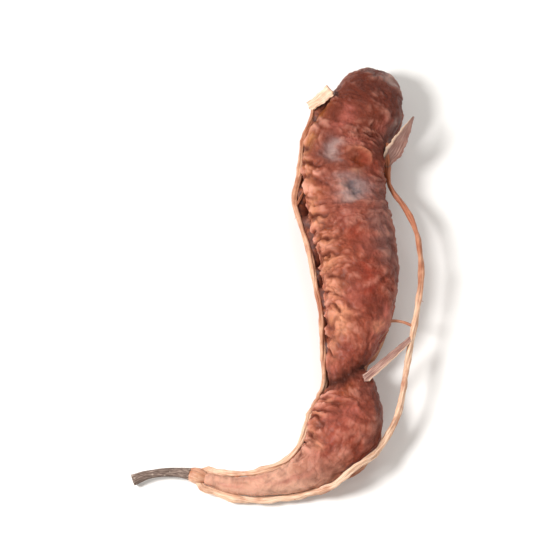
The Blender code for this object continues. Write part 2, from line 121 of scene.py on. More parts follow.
# Patches of colour on this pod: along, angle, reach lengthwise, reach in degrees and strength. Some are
# painted highlight or painted shade, as noted.
OWN_SPOTS = {
    # a greyish waxy bloom, partly painted sheen
    "bloom_and_sheen": (
        (10, 24, 6, 16, 0.9), (20, 34, 4, 16, 0.45), (38, 34, 6, 18, 0.6), (47, 40, 6, 24, 0.85),
        (54, 24, 6, 14, 0.6), (43.6, 60, 4, 12, 0.5), (51, 54, 3, 10, 0.4), (85, 28, 6, 16, 0.6),
        (81, 52, 2.4, 22, 0.5),
    ),
    "rosy": (
        (17, 102, 3.2, 13, 0.85), (22.4, 82, 1.8, 20, 0.6), (41, 98, 2.6, 14, 0.45),
        (60, 98, 3.6, 18, 0.5), (66, 34, 4, 22, 0.9), (72, 100, 2.4, 24, 0.55),
        (76.4, 128, 1.4, 20, 0.5), (84, 118, 2.2, 16, 0.6), (87.4, 82, 1.6, 14, 0.5),
        (91.5, 118, 2, 18, 0.55), (48.6, 78, 2.6, 12, 0.5), (62.4, 42, 1.6, 9, 0.5),
        (13.6, 44, 1.4, 7, 0.6), (88, 100, 5, 34, 0.4), (99, 96, 4, 26, 0.4), (106, 66, 5, 12, 0.5),
        (114, 116, 4, 14, 0.4), (119, 60, 2.6, 16, 0.4),
    ),
    # the flesh's peach tone, painted light as highlight on bumps and ridges
    "peach_highlight": (
        (22.8, 158, 1.8, 12, 0.75), (30, 74, 1, 8, 0.65), (65.4, 42, 1.6, 12, 0.55),
        (31.4, 152, 2.4, 12, 0.75), (36.6, 146, 1.8, 12, 0.7), (40, 142, 1.8, 12, 0.9),
        (46, 140, 2, 16, 0.6), (52, 138, 2, 18, 0.6), (57, 140, 2, 18, 0.6), (59.4, 128, 1.2, 14, 0.5),
        (63.4, 124, 1.2, 16, 0.6), (19.4, 148, 1.4, 8, 0.5), (66.2, 114, 2.4, 18, 0.9),
        (71.4, 128, 1.8, 16, 0.6), (89.6, 138, 1.6, 14, 0.6), (85, 128, 1.2, 10, 0.5),
        (94.6, 138, 1.4, 12, 0.6), (97, 116, 1.4, 16, 0.5),
    ),
    "ember": (
        (27.4, 57, 2.2, 12, 0.7), (55, 80, 2, 13, 0.8), (58.6, 72, 2.6, 9, 0.85),
        (46, 96, 1.8, 10, 0.5), (93.4, 88, 2.6, 8, 0.75), (97, 88, 1.6, 8, 0.4),
    ),
    # ochre-brown flesh, darkened in the dents as painted shade
    "ochre_and_shade": (
        (16.6, 152, 1.4, 12, 0.85), (24.8, 150, 1, 12, 0.7), (33.6, 156, 1, 10, 0.7),
        (38.2, 150, 0.9, 10, 0.7), (50, 150, 0.9, 12, 0.6), (61.4, 146, 1, 12, 0.6),
        (20, 160, 1.6, 10, 0.6), (28, 154, 1.6, 9, 0.85), (34, 132, 1.4, 9, 0.5),
        (28.6, 18, 2, 10, 0.85), (43.4, 130, 0.8, 14, 0.7), (48.2, 120, 1, 8, 0.8),
        (70, 156, 2.2, 14, 0.7), (82, 96, 1.6, 14, 0.55), (86, 108, 1.4, 12, 0.4),
        (104, 100, 2.4, 26, 0.35), (110.6, 142, 3.6, 10, 0.45), (117, 84, 1.4, 12, 0.35),
    ),
    "amber": (
        (14, 160, 2, 7, 0.5), (18.4, 148, 1.8, 8, 0.7), (23, 145, 1.8, 9, 0.7),
        (27.4, 148, 1.8, 9, 0.75), (31.6, 138, 1.5, 7, 0.5), (37.4, 143, 1.4, 9, 0.45),
        (44.6, 150, 1.4, 8, 0.45), (51, 143, 1.5, 10, 0.4), (65, 136, 2, 10, 0.45),
    ),
    "grey_spot": (
        (34.4, 80, 3.4, 24, 0.95), (24.6, 106, 2.4, 12, 0.75),
    ),
    # the grey spots' dark cores: their own blue-grey, and painted shade in their small dents
    "grey_core_and_shade": (
        (33.3, 83.5, 0.9, 4.5, 0.85), (35.3, 78, 0.9, 4.5, 0.85), (27.2, 99, 0.7, 4, 0.6),
    ),
    # painted highlights on the rims of the grey spots and round the tip
    "pale_highlight": (
        (37, 86, 0.9, 12, 0.45), (33.6, 94, 1.6, 4.5, 0.3), (25.4, 103, 1.1, 6, 0.38),
        (3, 50, 2, 24, 0.6), (12.4, 34, 1.2, 6, 0.4),
    ),
    # the dent under the shoulder arc: its orange-brown, darkened as painted shade
    "hollow_shade": (
        (27.2, 73, 1.3, 8, 1),
    ),
    # painted shade: dark in dents and in broad patches
    "dusk_shade": (
        (7, 95, 4, 30, 0.4), (13, 28, 6, 18, 0.5), (86, 36, 6, 18, 0.4), (18.6, 60, 1.6, 10, 0.7),
        (14.8, 64, 1.2, 8, 0.55), (11.6, 160, 1.4, 10, 0.85), (93, 124, 1, 9, 0.7),
        (97.8, 132, 0.6, 20, 0.6), (73.6, 40, 2, 24, 0.6),
    ),
}
# Where the broad colours start along the pulp, and how far on they are full.
SHOULDER = (12.0, 16.0)
TAIL = (98.0, 12.0)
TIP_END = (0.0, 33.0)
NECK_END = (94.0, 13.0)
# The inner side, in degrees, and how far its colour and its ridges reach from there, in radians.
INNER_COLOUR = (168.0, 0.95)
INNER_RIDGES = (166.0, 0.92)
INNER_PITS = (140.0, 0.75)
RIDGE_LEAN = 0.36  # how far the ridges lean as they leave the inner margin
# Waves that make the patches' outlines wander: size, pace along, pace round and start.
ALONG_WAVES = ((0.6, 0.9, 3.1, 0.0), (0.35, 2.3, -4.7, 1.0))
ROUND_WAVES = ((0.06, 1.1, 0.0, 1.7), (0.04, 2.9, 5.3, 0.0))

# Fineness of the pulp's mesh, and the reach over which its slope is read.
ROUND_STEPS = 190
LONG_STEPS = 430
CROWDING = 0.15  # how much closer the rings stand towards both ends
AXIS_STEP = 0.05
SLOPE_REACH = 0.6
SLOPE_TURN = 0.08  # radians

# Strings: their thickness, and the room that they keep from the pulp and from the table.
STRING_RADIUS = 0.68
THIN_RADIUS = 0.45
STRING_GAP = 0.06
TABLE_GAP = 0.1
FLOOR_ROOM = 1.25  # a bundle of strands is a little thicker in places than its radius says
STEP_ALONG = 0.9
DEGREE_LENGTH = 0.1  # about how far one degree reaches round the pulp
COLLAR_RADIUS = 1.9
COLLAR_LENGTH = 2.6
JOINT_GAP = 0.3
# The collar's shape from the neck to the stalk: how thick it is at even steps.
COLLAR_ENDS = (-2.6, 1.25)
COLLAR_SHAPE = (0.42, 0.55, 0.66, 0.76, 0.84, 0.9, 0.94, 0.95, 0.93, 0.9, 0.84, 0.72)

# Routes along the pulp: along, angle in degrees, extra lift. The bow between them is free: x, y, height.
INNER_ROUTE = (
    (17.5, 161, 0.1), (22, 167, 0.1), (26.5, 174, 0.1), (29.5, 178, 1), (32.5, 181, 2.5),
    (36.5, 181, 2.1), (41, 181, 1.5), (47, 179, 1.5), (55, 178, 1.2), (62, 178, 0.9), (70, 178, 0.4),
    (79, 178, 0.2), (100, 176, 0.3), (114, 172, 0.1), (123, 170, 0),
)
BOW_START = (
    (16, 24, 0), (22, 15, 0), (28, 6, 0.1),
)
BOW = (
    (13.2, 23.7, 7.6), (15.6, 20.2, 7.8), (17.6, 16.8, 7.9), (18.9, 13.4, 8), (19.8, 8, 8.1),
    (20, 1.4, 8.2), (19.2, -5.4, 8), (18.3, -10.2, 7.8), (17.8, -12.8, 7.7), (17.1, -16.6, 7.5),
    (16.5, -20.4, 7.3), (15.6, -26, 6.9), (14.3, -31.4, 6.5), (12.4, -35.2, 6.4),
)
BOW_END = (
    (90.5, 8, 0.2), (92.8, 20, 0.1), (95, 28, 0.1), (97, 24, 0), (99.5, 6, 0), (102.5, -14, 0),
    (106.5, -28, 0), (113, -34, 0), (119, -32, 0), (123.5, -20, 0),
)
UNDER_ROUTE = (
    (14, 314, 0), (32, 318, 0), (52, 314, 0), (68, 318, 0), (78, 308, 0.2), (89, 314, 0), (98, 320, 0),
    (106.5, 332, 0),
)
# Branches: the point of the string that each leaves, then along and angle of its foot on the pulp.
THIN_BRANCH = (7, 63.0, 12.0)
WIDE_BRANCH = (8, 79.5, 58.0)
UNDER_TWIGS = ((20, 34.0, 340.0), (37, 44.0, 338.0))
FOOT_DEPTH = 0.4
# The torn tab at the far end of the inner string, and where the string starts: along the tab, and up.
TAB_CENTRE = (-2.2, 44.1, 10.6)
TAB_WAY = (0.8, 0.5, 0.4)
TAB_LENGTH = 6.2
TAB_ROOT = (-2.1, -0.2)
# A scrap of skin that curls off the outer side: x, y, height and half width.
FLAP_ROUTE = (
    (12.2, 29.2, 8.2, 1.2), (14.2, 31.6, 9, 1.9), (16.2, 35.2, 9.6, 1.4), (18.6, 40.2, 9.4, 0.2),
)
# Fine veins that cling to the pulp: places (along, angle in degrees) and radius.
FINE_VEINS = (
    (((32, 318), (37, 344), (44, 2), (49, 24)), 0.24),
    (((52, 314), (58, 340), (65, 358), (68, 20)), 0.22),
    (((42, 316), (48, 290), (54, 262), (62, 240), (66, 214)), 0.26),
    (((24, 318), (29, 286), (35, 250), (40, 214)), 0.24), (((72, 178), (68, 208), (63, 226)), 0.2),
    (((92, 176), (95, 150), (99, 128)), 0.17), (((93, 317), (98, 296), (104, 262), (110, 240)), 0.22),
)
TIE_COUNT = 7
FIBRIL_COUNT = 5
STRIP_SIDES = 40
# The dark flesh beside the inner string is painted shade of its groove.
WEB_END = 0.8  # share of the inner string that the dark flesh follows
WEB_SIDES = 16
WEB_SINK = 0.9  # how far the dark flesh reaches into the pulp

# How far flesh has stained each string: shares at places from the neck's end of the pod to the tip's.
STAINS = {
    "inner_string": ((-38.0, 0.02), (-22.0, 0.42)),
    "outer_string": ((-14.67, 0.0), (18.66, 1.0)),
    "under_string": ((0.0, 0.55),),
    "thin_branch": ((0.0, 0.7),),
    "under_twigs": ((0.0, 0.6),),
    "collar": ((0.0, 0.3),),
    "fine_veins": ((0.0, 0.6),),
    "flesh_ties": ((0.0, 0.75),),
    "torn_fibrils": ((0.0, 0.45),),
    "torn_tab": ((0.0, 0.0),),
    "skin_scrap": ((0.0, 0.55),),
    "torn_bridge": ((0.0, 0.0),),
}

# Stalk: how far each point lies on from the collar and aside, and the radius at each.
STALK_ROUTE = ((0.0, 0.0), (2.6, 0.2), (5.6, 0.9), (8.8, 2.3), (11.8, 4.4))
STALK_RADII = (1.55, 1.2, 1.05, 1.1, 1.35)
STALK_END_HEIGHT = 1.9
STALK_STEP = 0.6

# Stage: lengths in metres, the camera's angle above the table in degrees, power in watts.
TABLE_SIZE = 1.2
CAMERA_ANGLE = 66.0
CAMERA_DISTANCE = 1.1
CAMERA_LENS = 323.5
CAMERA_SENSOR = 36.0
ROOM_LIGHT = 0.36
# Lights: name, place, size and power.
LIGHTS = (
    ("key_softbox", (-0.27, -0.08, 0.33), 0.15, 2.4),
    ("fill_softbox", (0.26, -0.24, 0.3), 0.34, 0.6),
    ("back_softbox", (0.1, 0.36, 0.26), 0.3, 0.6),
)

# Kinds of node that come up often.
ATTRIBUTE = "ShaderNodeAttribute"
BUMP = "ShaderNodeBump"
MATH = "ShaderNodeMath"
MIX = "ShaderNodeMix"
NOISE = "ShaderNodeTexNoise"
RAMP = "ShaderNodeValToRGB"
RANGE = "ShaderNodeMapRange"
VECTOR_MATH = "ShaderNodeVectorMath"
READ = "GeometryNodeInputNamedAttribute"
STORE = "GeometryNodeStoreNamedAttribute"
MOVE = "GeometryNodeSetPosition"


# ---------- curves and places


def distances(points):
    """How far each point lies along the chain of points."""
    steps = np.linalg.norm(np.diff(points, axis=0), axis=1)
    return np.concatenate([[0.0], np.cumsum(steps)])


def unit(vectors):
    """A vector, or rows of vectors, brought to length 1."""
    return vectors / np.linalg.norm(vectors, axis=-1, keepdims=True)


def smooth(knots, values, at):
    """A smooth curve through values at their knots, read at the places given."""
    at = np.atleast_1d(np.asarray(at, float))
    slope = np.gradient(values, knots, axis=0)
    i = np.clip(np.searchsorted(knots, at) - 1, 0, len(knots) - 2)
    span = knots[i + 1] - knots[i]
    u = (at - knots[i]) / span
    if values.ndim > 1:
        u, span = u[:, None], span[:, None]
    start = (1 + 2 * u) * (1 - u) ** 2 * values[i] + u * (1 - u) ** 2 * span * slope[i]
    end = u**2 * (3 - 2 * u) * values[i + 1] - u**2 * (1 - u) * span * slope[i + 1]
    return start + end


def resampled(points, step):
    """Points a step apart on the smooth curve through the given ones."""
    points = np.asarray(points, float)
    knots = distances(points)
    count = max(3, round(knots[-1] / step) + 1)
    return smooth(knots, points, np.linspace(0.0, knots[-1], count))


def softened(points, times):
    """The same chain of points with its small turns eased, its ends kept."""
    points = points.copy()
    for _ in range(times):
        points[1:-1] = 0.25 * points[:-2] + 0.5 * points[1:-1] + 0.25 * points[2:]
    return points


def bump(distance, reach):
    """1 at no distance, fading to nothing past this reach."""
    return np.exp(-((distance / reach) ** 2))


def rise(at, start, reach):
    """0 up to the start, 1 from this reach beyond it."""
    return np.clip((at - start) / reach, 0.0, 1.0)


def cap(distance, length):
    """Rounds an end off: 0 at the end, 1 from this length on."""
    return np.sqrt(1.0 - (1.0 - rise(distance, 0.0, length)) ** 2)


def turn_from(angle, centre):
    """The angle's turn away from a centre in degrees, in radians between minus pi and pi."""
    return (angle - math.radians(centre) + math.pi) % (2 * math.pi) - math.pi


def patch(along, angle, at, centre, long_reach, round_reach):
    """A soft-edged spot on the pulp, 1 at its middle. Its centre and round reach are in degrees."""
    return bump(along - at, long_reach) * bump(np.degrees(turn_from(angle, centre)), round_reach)


def arc_ridge(along, angle, at, centre, half_width, radius, facing, spread):
    """A ridge that bends round a place on the upper face: an arc of this radius, highest where it faces.

    It faces 0 degrees towards the outer side of the bend and 90 towards the blunt tip.
    """
    across = -turn_from(angle, centre) * half_width
    back = at - along
    turn = turn_from(np.arctan2(back, across), facing)
    return bump(np.hypot(across, back) - radius, ARC_REACH) * bump(np.degrees(turn), spread)


def waves(along, angle, table):
    """The sum of slow waves over the pulp."""
    return sum(size * np.sin(pace * along + turn * angle + start) for size, pace, turn, start in table)


# ---------- form of the pulp

SPINE_AT = distances(SPINE[:, :3])
LENGTH = SPINE_AT[-1]
MIDDLE = np.zeros(3)  # the step from the spine's coordinates to the frame's, which is found below


def past_fold(along, angle):
    """How far a place lies past the slanting fold."""
    return along - FOLD_AT - FOLD_SLANT * np.cos(angle + FOLD_TURN)


def swellings(along, angle):
    """The large relief, along the way out: seeds, fold, grooves, and this pod's own ridges and dents."""
    on_face = SEED_SIDE_SHARE + (1.0 - SEED_SIDE_SHARE) * np.abs(np.sin(angle))
    height = sum(SEED_SWELL * bump(along - seed, SEED_REACH) for seed in SEEDS) * on_face
    height -= FOLD_DEPTH * bump(past_fold(along, angle), FOLD_REACH)
    height -= INNER_GROOVE * bump(turn_from(angle, 180.0), GROOVE_SPREAD)
    height -= OUTER_GROOVE * bump(turn_from(angle, 0.0), GROOVE_SPREAD)
    height += SHOULDER_ARC_HEIGHT * arc_ridge(along, angle, *SHOULDER_ARC)
    height += LOBE_ARC_HEIGHT * arc_ridge(along, angle, *LOBE_ARC)
    for *spot, depth in OWN_DENTS:
        height -= depth * patch(along, angle, *spot)
    return height


def axis_at(along):
    return smooth(SPINE_AT, SPINE[:, :3], np.clip(along, 0.0, LENGTH))


def pulp_points(along, angle):
    """Points of the pulp's surface, before the table presses it flat."""
    along = np.atleast_1d(np.asarray(along, float))
    angle = np.atleast_1d(np.asarray(angle, float))
    row = smooth(SPINE_AT, SPINE, along)
    ahead = unit(axis_at(along + AXIS_STEP) - axis_at(along - AXIS_STEP))
    outward = unit(np.cross(UP, ahead))
    upward = np.cross(ahead, outward)
    ends = cap(along, TIP_CAP) * cap(LENGTH - along, NECK_CAP)
    c, s = np.cos(angle), np.sin(angle)
    box = (np.abs(c) ** SECTION_POWER + np.abs(s) ** SECTION_POWER) ** (-1.0 / SECTION_POWER)
    height = swellings(along, angle) * np.clip(row[:, 3] / FULL_RELIEF_WIDTH, 0.0, 1.0) ** FADE_POWER
    across = (row[:, 3] * box + height) * ends * c
    above = (row[:, 4] * box + height) * ends * s
    return row[:, :3] + across[:, None] * outward + above[:, None] * upward + MIDDLE


def lifted(along, angle, lift):
    """Points that stand off the pulp's surface by a lift, square to it."""
    further = pulp_points(np.clip(along + SLOPE_REACH, 0.0, LENGTH), angle)
    nearer = pulp_points(np.clip(along - SLOPE_REACH, 0.0, LENGTH), angle)
    roundwise = pulp_points(along, angle + SLOPE_TURN) - pulp_points(along, angle - SLOPE_TURN)
    out = unit(np.cross(roundwise, further - nearer))
    return pulp_points(along, angle) + np.atleast_1d(lift)[:, None] * out


def middle_of_pod():
    """The step from the spine's coordinates to the frame's, from the box of the solid pulp."""
    along, angle = np.meshgrid(np.linspace(0.0, LENGTH, 400), np.radians(np.arange(0, 360, 3)))
    places = pulp_points(along.ravel(), angle.ravel())
    low, high = (np.array(corner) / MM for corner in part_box("pulp"))
    step = (low + high) / 2 - (places.min(axis=0) + places.max(axis=0)) / 2
    return np.array((step[0], step[1], 0.0))


MIDDLE = middle_of_pod()


# ---------- Blender helpers


def linear(code):
    """A hex colour as linear red, green, blue and full alpha."""
    parts = [int(code[i : i + 2], 16) / 255 for i in (0, 2, 4)]
    return (*(c / 12.92 if c <= 0.04045 else ((c + 0.055) / 1.055) ** 2.4 for c in parts), 1.0)


def feed(tree, node, inputs):
    """Feeds a node's sockets, named or in order, with values, sockets or other nodes' first outputs."""
    for socket, value in inputs.items() if isinstance(inputs, dict) else enumerate(inputs):
        if isinstance(value, bpy.types.Node):
            value = value.outputs[0]
        if isinstance(value, bpy.types.NodeSocket):
            tree.links.new(value, node.inputs[socket])
        else:
            node.inputs[socket].default_value = value


def add(tree, kind, inputs=(), **settings):
    """Adds a node. Settings are its properties, and inputs what feeds its sockets."""
    made = tree.nodes.new(kind)
    for name, value in settings.items():
        setattr(made, name, value)
    feed(tree, made, inputs)
    return made


def stops(ramp, *pairs):
    """Sets a colour ramp's stops from pairs of place and hex colour."""
    elements = ramp.color_ramp.elements
    while len(elements) < len(pairs):
        elements.new(0.5)
    for element, (place, code) in zip(elements, pairs):
        element.position = place
        element.color = linear(code)
    return ramp


def new_tree(name, sizes):
    """A geometry tree with an input for each size, which starts at the value given, and for a material."""
    tree = bpy.data.node_groups.new(name, "GeometryNodeTree")
    sockets = tree.interface
    for way in ("INPUT", "OUTPUT"):
        sockets.new_socket("Geometry", in_out=way, socket_type="NodeSocketGeometry")
    for label, size in sizes.items():
        kind = "NodeSocketInt" if isinstance(size, int) else "NodeSocketFloat"
        sockets.new_socket(label, in_out="INPUT", socket_type=kind).default_value = size
    sockets.new_socket("Material", in_out="INPUT", socket_type="NodeSocketMaterial")
    return tree, add(tree, "NodeGroupInput").outputs


def ended(tree, shape, material):
    """Ends a tree with its shape shaded smooth, made real and given the material."""
    soft = add(tree, "GeometryNodeSetShadeSmooth", {"Geometry": shape})
    whole = add(tree, "GeometryNodeRealizeInstances", {"Geometry": soft})
    dressed = add(tree, "GeometryNodeSetMaterial", {"Geometry": whole, "Material": material})
    add(tree, "NodeGroupOutput", {"Geometry": dressed})
    return tree


def grown(obj, tree, **values):
    """The plain mesh that a tree makes of an object, which is removed. Values go to the tree's inputs."""
    name = obj.name
    modifier = obj.modifiers.new(tree.name, "NODES")
    modifier.node_group = tree
    for item in tree.interface.items_tree:
        if item.in_out == "INPUT" and item.name.lower() in values:
            modifier[item.identifier] = values[item.name.lower()]
    graph = bpy.context.evaluated_depsgraph_get()
    mesh = bpy.data.meshes.new_from_object(obj.evaluated_get(graph))
    bpy.data.objects.remove(obj)
    mesh.name = name
    return placed(name, mesh)


def placed(name, data):
    obj = bpy.data.objects.new(name, data)
    bpy.context.scene.collection.objects.link(obj)
    return obj


def set_attribute(mesh, name, values):
    """Stores a number, or three, for each point."""
    kind, field = ("FLOAT_VECTOR", "vector") if values.ndim > 1 else ("FLOAT", "value")
    mesh.attributes.new(name, kind, "POINT").data.foreach_set(field, values.astype(np.float32).ravel())


def routes(name, chains):
    """A curve object of open poly splines. Each chain is points and a radius for each, in millimetres."""
    curve = bpy.data.curves.new(name, "CURVE")
    curve.dimensions = "3D"
    for points, radii in chains:
        spline = curve.splines.new("POLY")
        spline.points.add(len(points) - 1)
        flat = np.column_stack([np.asarray(points) * MM, np.ones(len(points))])
        spline.points.foreach_set("co", flat.ravel())
        spline.points.foreach_set("radius", np.asarray(radii, float) * MM)
    return placed(name, curve)


def finished(obj, slot, *replaced):
    """Hands a finished piece to the frame."""
    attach(obj, "root")
    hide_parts(*replaced)
    return obj


# ---------- materials


def new_material(name):
    """A new material, and the function that adds nodes to it."""
    material = bpy.data.materials.new(name)
    material.use_nodes = True
    return material, partial(add, material.node_tree)


def shaded(material, inputs):
    """The material with its shader's sockets fed."""
    tree = material.node_tree
    feed(tree, tree.nodes["Principled BSDF"], inputs)
    return material


def pulp_material():
    """Dried tamarind flesh: sugary, tacky and broadly shiny, with a red glow and dust in its creases.
    Highlight is painted on its crests and bumps, and shade in its creases, pits, dents and fold.
    """
    material, node = new_material("sticky_dried_fruit_flesh")
    straight = node(ATTRIBUTE, attribute_name="straight").outputs["Vector"]

    # Blotches about 8 mm wide, then mottling of about 1.5 mm and flecks of half a millimetre.
    blotch = node(NOISE, {"Vector": straight, "Scale": 0.13, "Detail": 3.0, "Roughness": 0.5})
    flesh = stops(node(RAMP, {"Fac": blotch}), (0.34, "742C1A"), (0.5, "883820"), (0.64, "97452C"))
    mottle = node(NOISE, {"Vector": straight, "Scale": 0.7, "Detail": 6.0, "Roughness": 0.66})
    mottled = stops(node(RAMP, {"Fac": mottle}), (0.36, "5E1E10"), (0.5, "8A3A24"), (0.64, "B86852"))
    base = node(MIX, {"Factor": 0.5, 6: flesh, 7: mottled}, data_type="RGBA").outputs[2]

    # Each colour that the surface takes on in places, in the order in which they lie over each other. Some
    # are painted highlight or painted shade, as noted.
    layers = {
        "inner_side": "B8684E",
        "tip_end": "5A210F",
        "neck_end": "DEA88E",
        "rosy": "B05C4E",
        "ember": "963520",
        # peach tone, painted as highlight on bumps and ridges
        "peach_highlight": "E29873",
        # ochre-brown, partly painted shade in dents
        "ochre_and_shade": "8C4215",
        "amber": "B9743F",
        # greyish bloom, partly painted sheen
        "bloom_and_sheen": "7A4E46",
        # painted shade in dents and broad patches
        "dusk_shade": "4C1B0A",
        # painted highlight on the crests, then painted shade in the valleys
        "valley": "5E2413",
        "crest": "E29E88",
        # orange-brown of the deep dent, darkened as painted shade
        "hollow_shade": "772C08",
        "grey_spot": "967E7A",
        # dark blue-grey cores, partly painted shade in small dents
        "grey_core_and_shade": "544A4E",
        # painted highlight on the rims of the grey spots and the tip
        "pale_highlight": "CFAFA4",
        # painted shade in the creases, in the pits and along the fold
        "crease": "5A2010",
        "pit": "602408",
        "fold_shade": "3C1408",
    }
    share = {mark: node(ATTRIBUTE, attribute_name=mark).outputs["Fac"] for mark in layers}
    for mark, code in layers.items():
        base = node(MIX, {"Factor": share[mark], 6: base, 7: linear(code)}, data_type="RGBA").outputs[2]

    # Tacky and dusty spots a few millimetres wide. Creases and pits hold dry dust and shine less.
    shine = node(NOISE, {"Vector": straight, "Scale": 0.4, "Detail": 3.0})
    spread = {"Value": shine, "From Min": 0.34, "From Max": 0.64, "To Min": 0.28, "To Max": 0.5}
    sunk = share["crease"]
    for mark in ("fold_shade", "pit"):
        sunk = node(MATH, (sunk, share[mark]), operation="MAXIMUM")
    # A grain of about half a millimetre.
    grain = node(NOISE, {"Vector": straight, "Scale": 1.9, "Detail": 6.0, "Roughness": 0.7})
    surface = {
        "Base Color": base,
        "Roughness": node(MIX, {"Factor": sunk, "A": node(RANGE, spread), "B": 0.95}),
        "Normal": node(BUMP, {"Height": grain, "Strength": 1.0, "Distance": 0.0005}),
        "Specular IOR Level": 0.2,
        "Coat Weight": 0.08,
        "Coat Roughness": 0.3,
        "Subsurface Weight": 0.1,
        "Subsurface Radius": (1.0, 0.3, 0.15),
        "Subsurface Scale": 0.001,
    }
    return shaded(material, surface)


def fibres(node, stretch, scale, *tones):
    """Lengthwise fibres, drawn out along a piece: its places on the fibres, the lines, and their colour."""
    fibre = node(ATTRIBUTE, attribute_name="fibre").outputs["Vector"]
    drawn = node("ShaderNodeMapping", {"Vector": fibre, "Scale": stretch})
    line = node(NOISE, {"Vector": drawn, "Scale": scale, "Detail": 4.0})
    return fibre, line, stops(node(RAMP, {"Fac": line}), *tones)


def string_material():
    """Dried fruit vein: lignified fibres, pale gold and satin, red-brown where flesh has dried on them."""
    material, node = new_material("dry_lignified_vein")
    stained = node(ATTRIBUTE, attribute_name="stained").outputs["Fac"]
    # Fibres about a tenth of a millimetre wide and three long.
    tones = ((0.3, "AE7B5B"), (0.48, "DCB192"), (0.68, "F4DAC0"))
    _, line, tan = fibres(node, (0.3, 3.0, 3.0), 1.2, *tones)
    warm = node(MIX, {"Factor": stained, 6: tan, 7: linear("C4805A")}, data_type="RGBA").outputs[2]
    # Dried flesh lies on it in patches about 5 mm long, more where the string is stained.
    place = node("ShaderNodeTexCoord").outputs["Object"]
    flesh = node(NOISE, {"Vector": place, "Scale": 190.0, "Detail": 3.0, "Roughness": 0.6})
    reach = node(MATH, (stained, 0.34, flesh), operation="MULTIPLY_ADD")
    cover = node(RANGE, {"Value": reach, "From Min": 0.52, "From Max": 0.76, "To Max": 0.85})
    base = node(MIX, {"Factor": cover, 6: warm, 7: linear("A05A3A")}, data_type="RGBA").outputs[2]
    surface = {
        "Base Color": base,
        "Roughness": 0.46,
        "IOR": 1.5,
        "Normal": node(BUMP, {"Height": line, "Strength": 0.6, "Distance": 0.0002}),
        "Subsurface Weight": 0.08,
        "Subsurface Radius": (1.0, 0.6, 0.35),
        "Subsurface Scale": 0.0008,
    }
    return shaded(material, surface)


def skin_scrap_material():
    """A scrap of the pod's inner skin: thin parchment, grey-brown and matt, with fine lengthwise fibres."""
    material, node = new_material("dry_fruit_parchment")
    tones = ((0.32, "6E463B"), (0.5, "9A7064"), (0.68, "C9A594"))
    fibre, line, tone = fibres(node, (0.25, 2.2, 2.2), 1.3, *tones)
    # The scrap is dark within and pale along the edge that it tore from.
    dark = node(ATTRIBUTE, attribute_name="stained").outputs["Fac"]
    across = node("ShaderNodeSeparateXYZ", (fibre,)).outputs["Y"]
    edge = node(RANGE, {"Value": across, "From Min": -1.5, "From Max": -2.2})
    for share, code in ((dark, "5A3A31"), (edge, "D6B59C")):
        tone = node(MIX, {"Factor": share, 6: tone, 7: linear(code)}, data_type="RGBA").outputs[2]
    surface = {
        "Base Color": tone,
        "Roughness": 0.55,
        "Normal": node(BUMP, {"Height": line, "Strength": 0.6, "Distance": 0.0002}),
        "Subsurface Weight": 0.15,
        "Subsurface Radius": (1.0, 0.4, 0.25),
        "Subsurface Scale": 0.0006,
    }
    return shaded(material, surface)


def shade_web_material():
    """Dried flesh in the groove: toffee-like in clots of about a millimetre and a half, and dark as painted
    shade of the groove.
    """
    material, node = new_material("dark_flesh_painted_shade")
    place = node("ShaderNodeTexCoord").outputs["Object"]
    clot = node(NOISE, {"Vector": place, "Scale": 700.0, "Detail": 4.0, "Roughness": 0.6})
    tone = stops(node(RAMP, {"Fac": clot}), (0.32, "3A140A"), (0.52, "5E2814"), (0.7, "8A4628"))
    surface = {
        "Base Color": tone,
        "Roughness": 0.6,
        "Normal": node(BUMP, {"Height": clot, "Strength": 0.7, "Distance": 0.0003}),
    }
    return shaded(material, surface)


def stalk_material():
    """Twig bark: grey-brown cork with lengthwise cracks and pale specks, quite matt."""
    material, node = new_material("dry_twig_bark")
    tones = ((0.32, "3E2C24"), (0.48, "6A564B"), (0.66, "9C877B"))
    _, crack, bark = fibres(node, (0.5, 2.2, 2.2), 1.5, *tones)
    # A speck at every millimetre or so.
    place = node("ShaderNodeTexCoord").outputs["Object"]
    speck = node("ShaderNodeTexVoronoi", {"Vector": place, "Scale": 900.0})
    dot = node(RANGE, {"Value": speck, "From Min": 0.22, "From Max": 0.12, "To Max": 0.6})
    base = node(MIX, {"Factor": dot, 6: bark, 7: linear("C9B8A8")}, data_type="RGBA").outputs[2]
    surface = {
        "Base Color": base,
        "Roughness": 0.8,
        "Normal": node(BUMP, {"Height": crack, "Strength": 0.8, "Distance": 0.0003}),
    }
    return shaded(material, surface)


# ---------- pulp


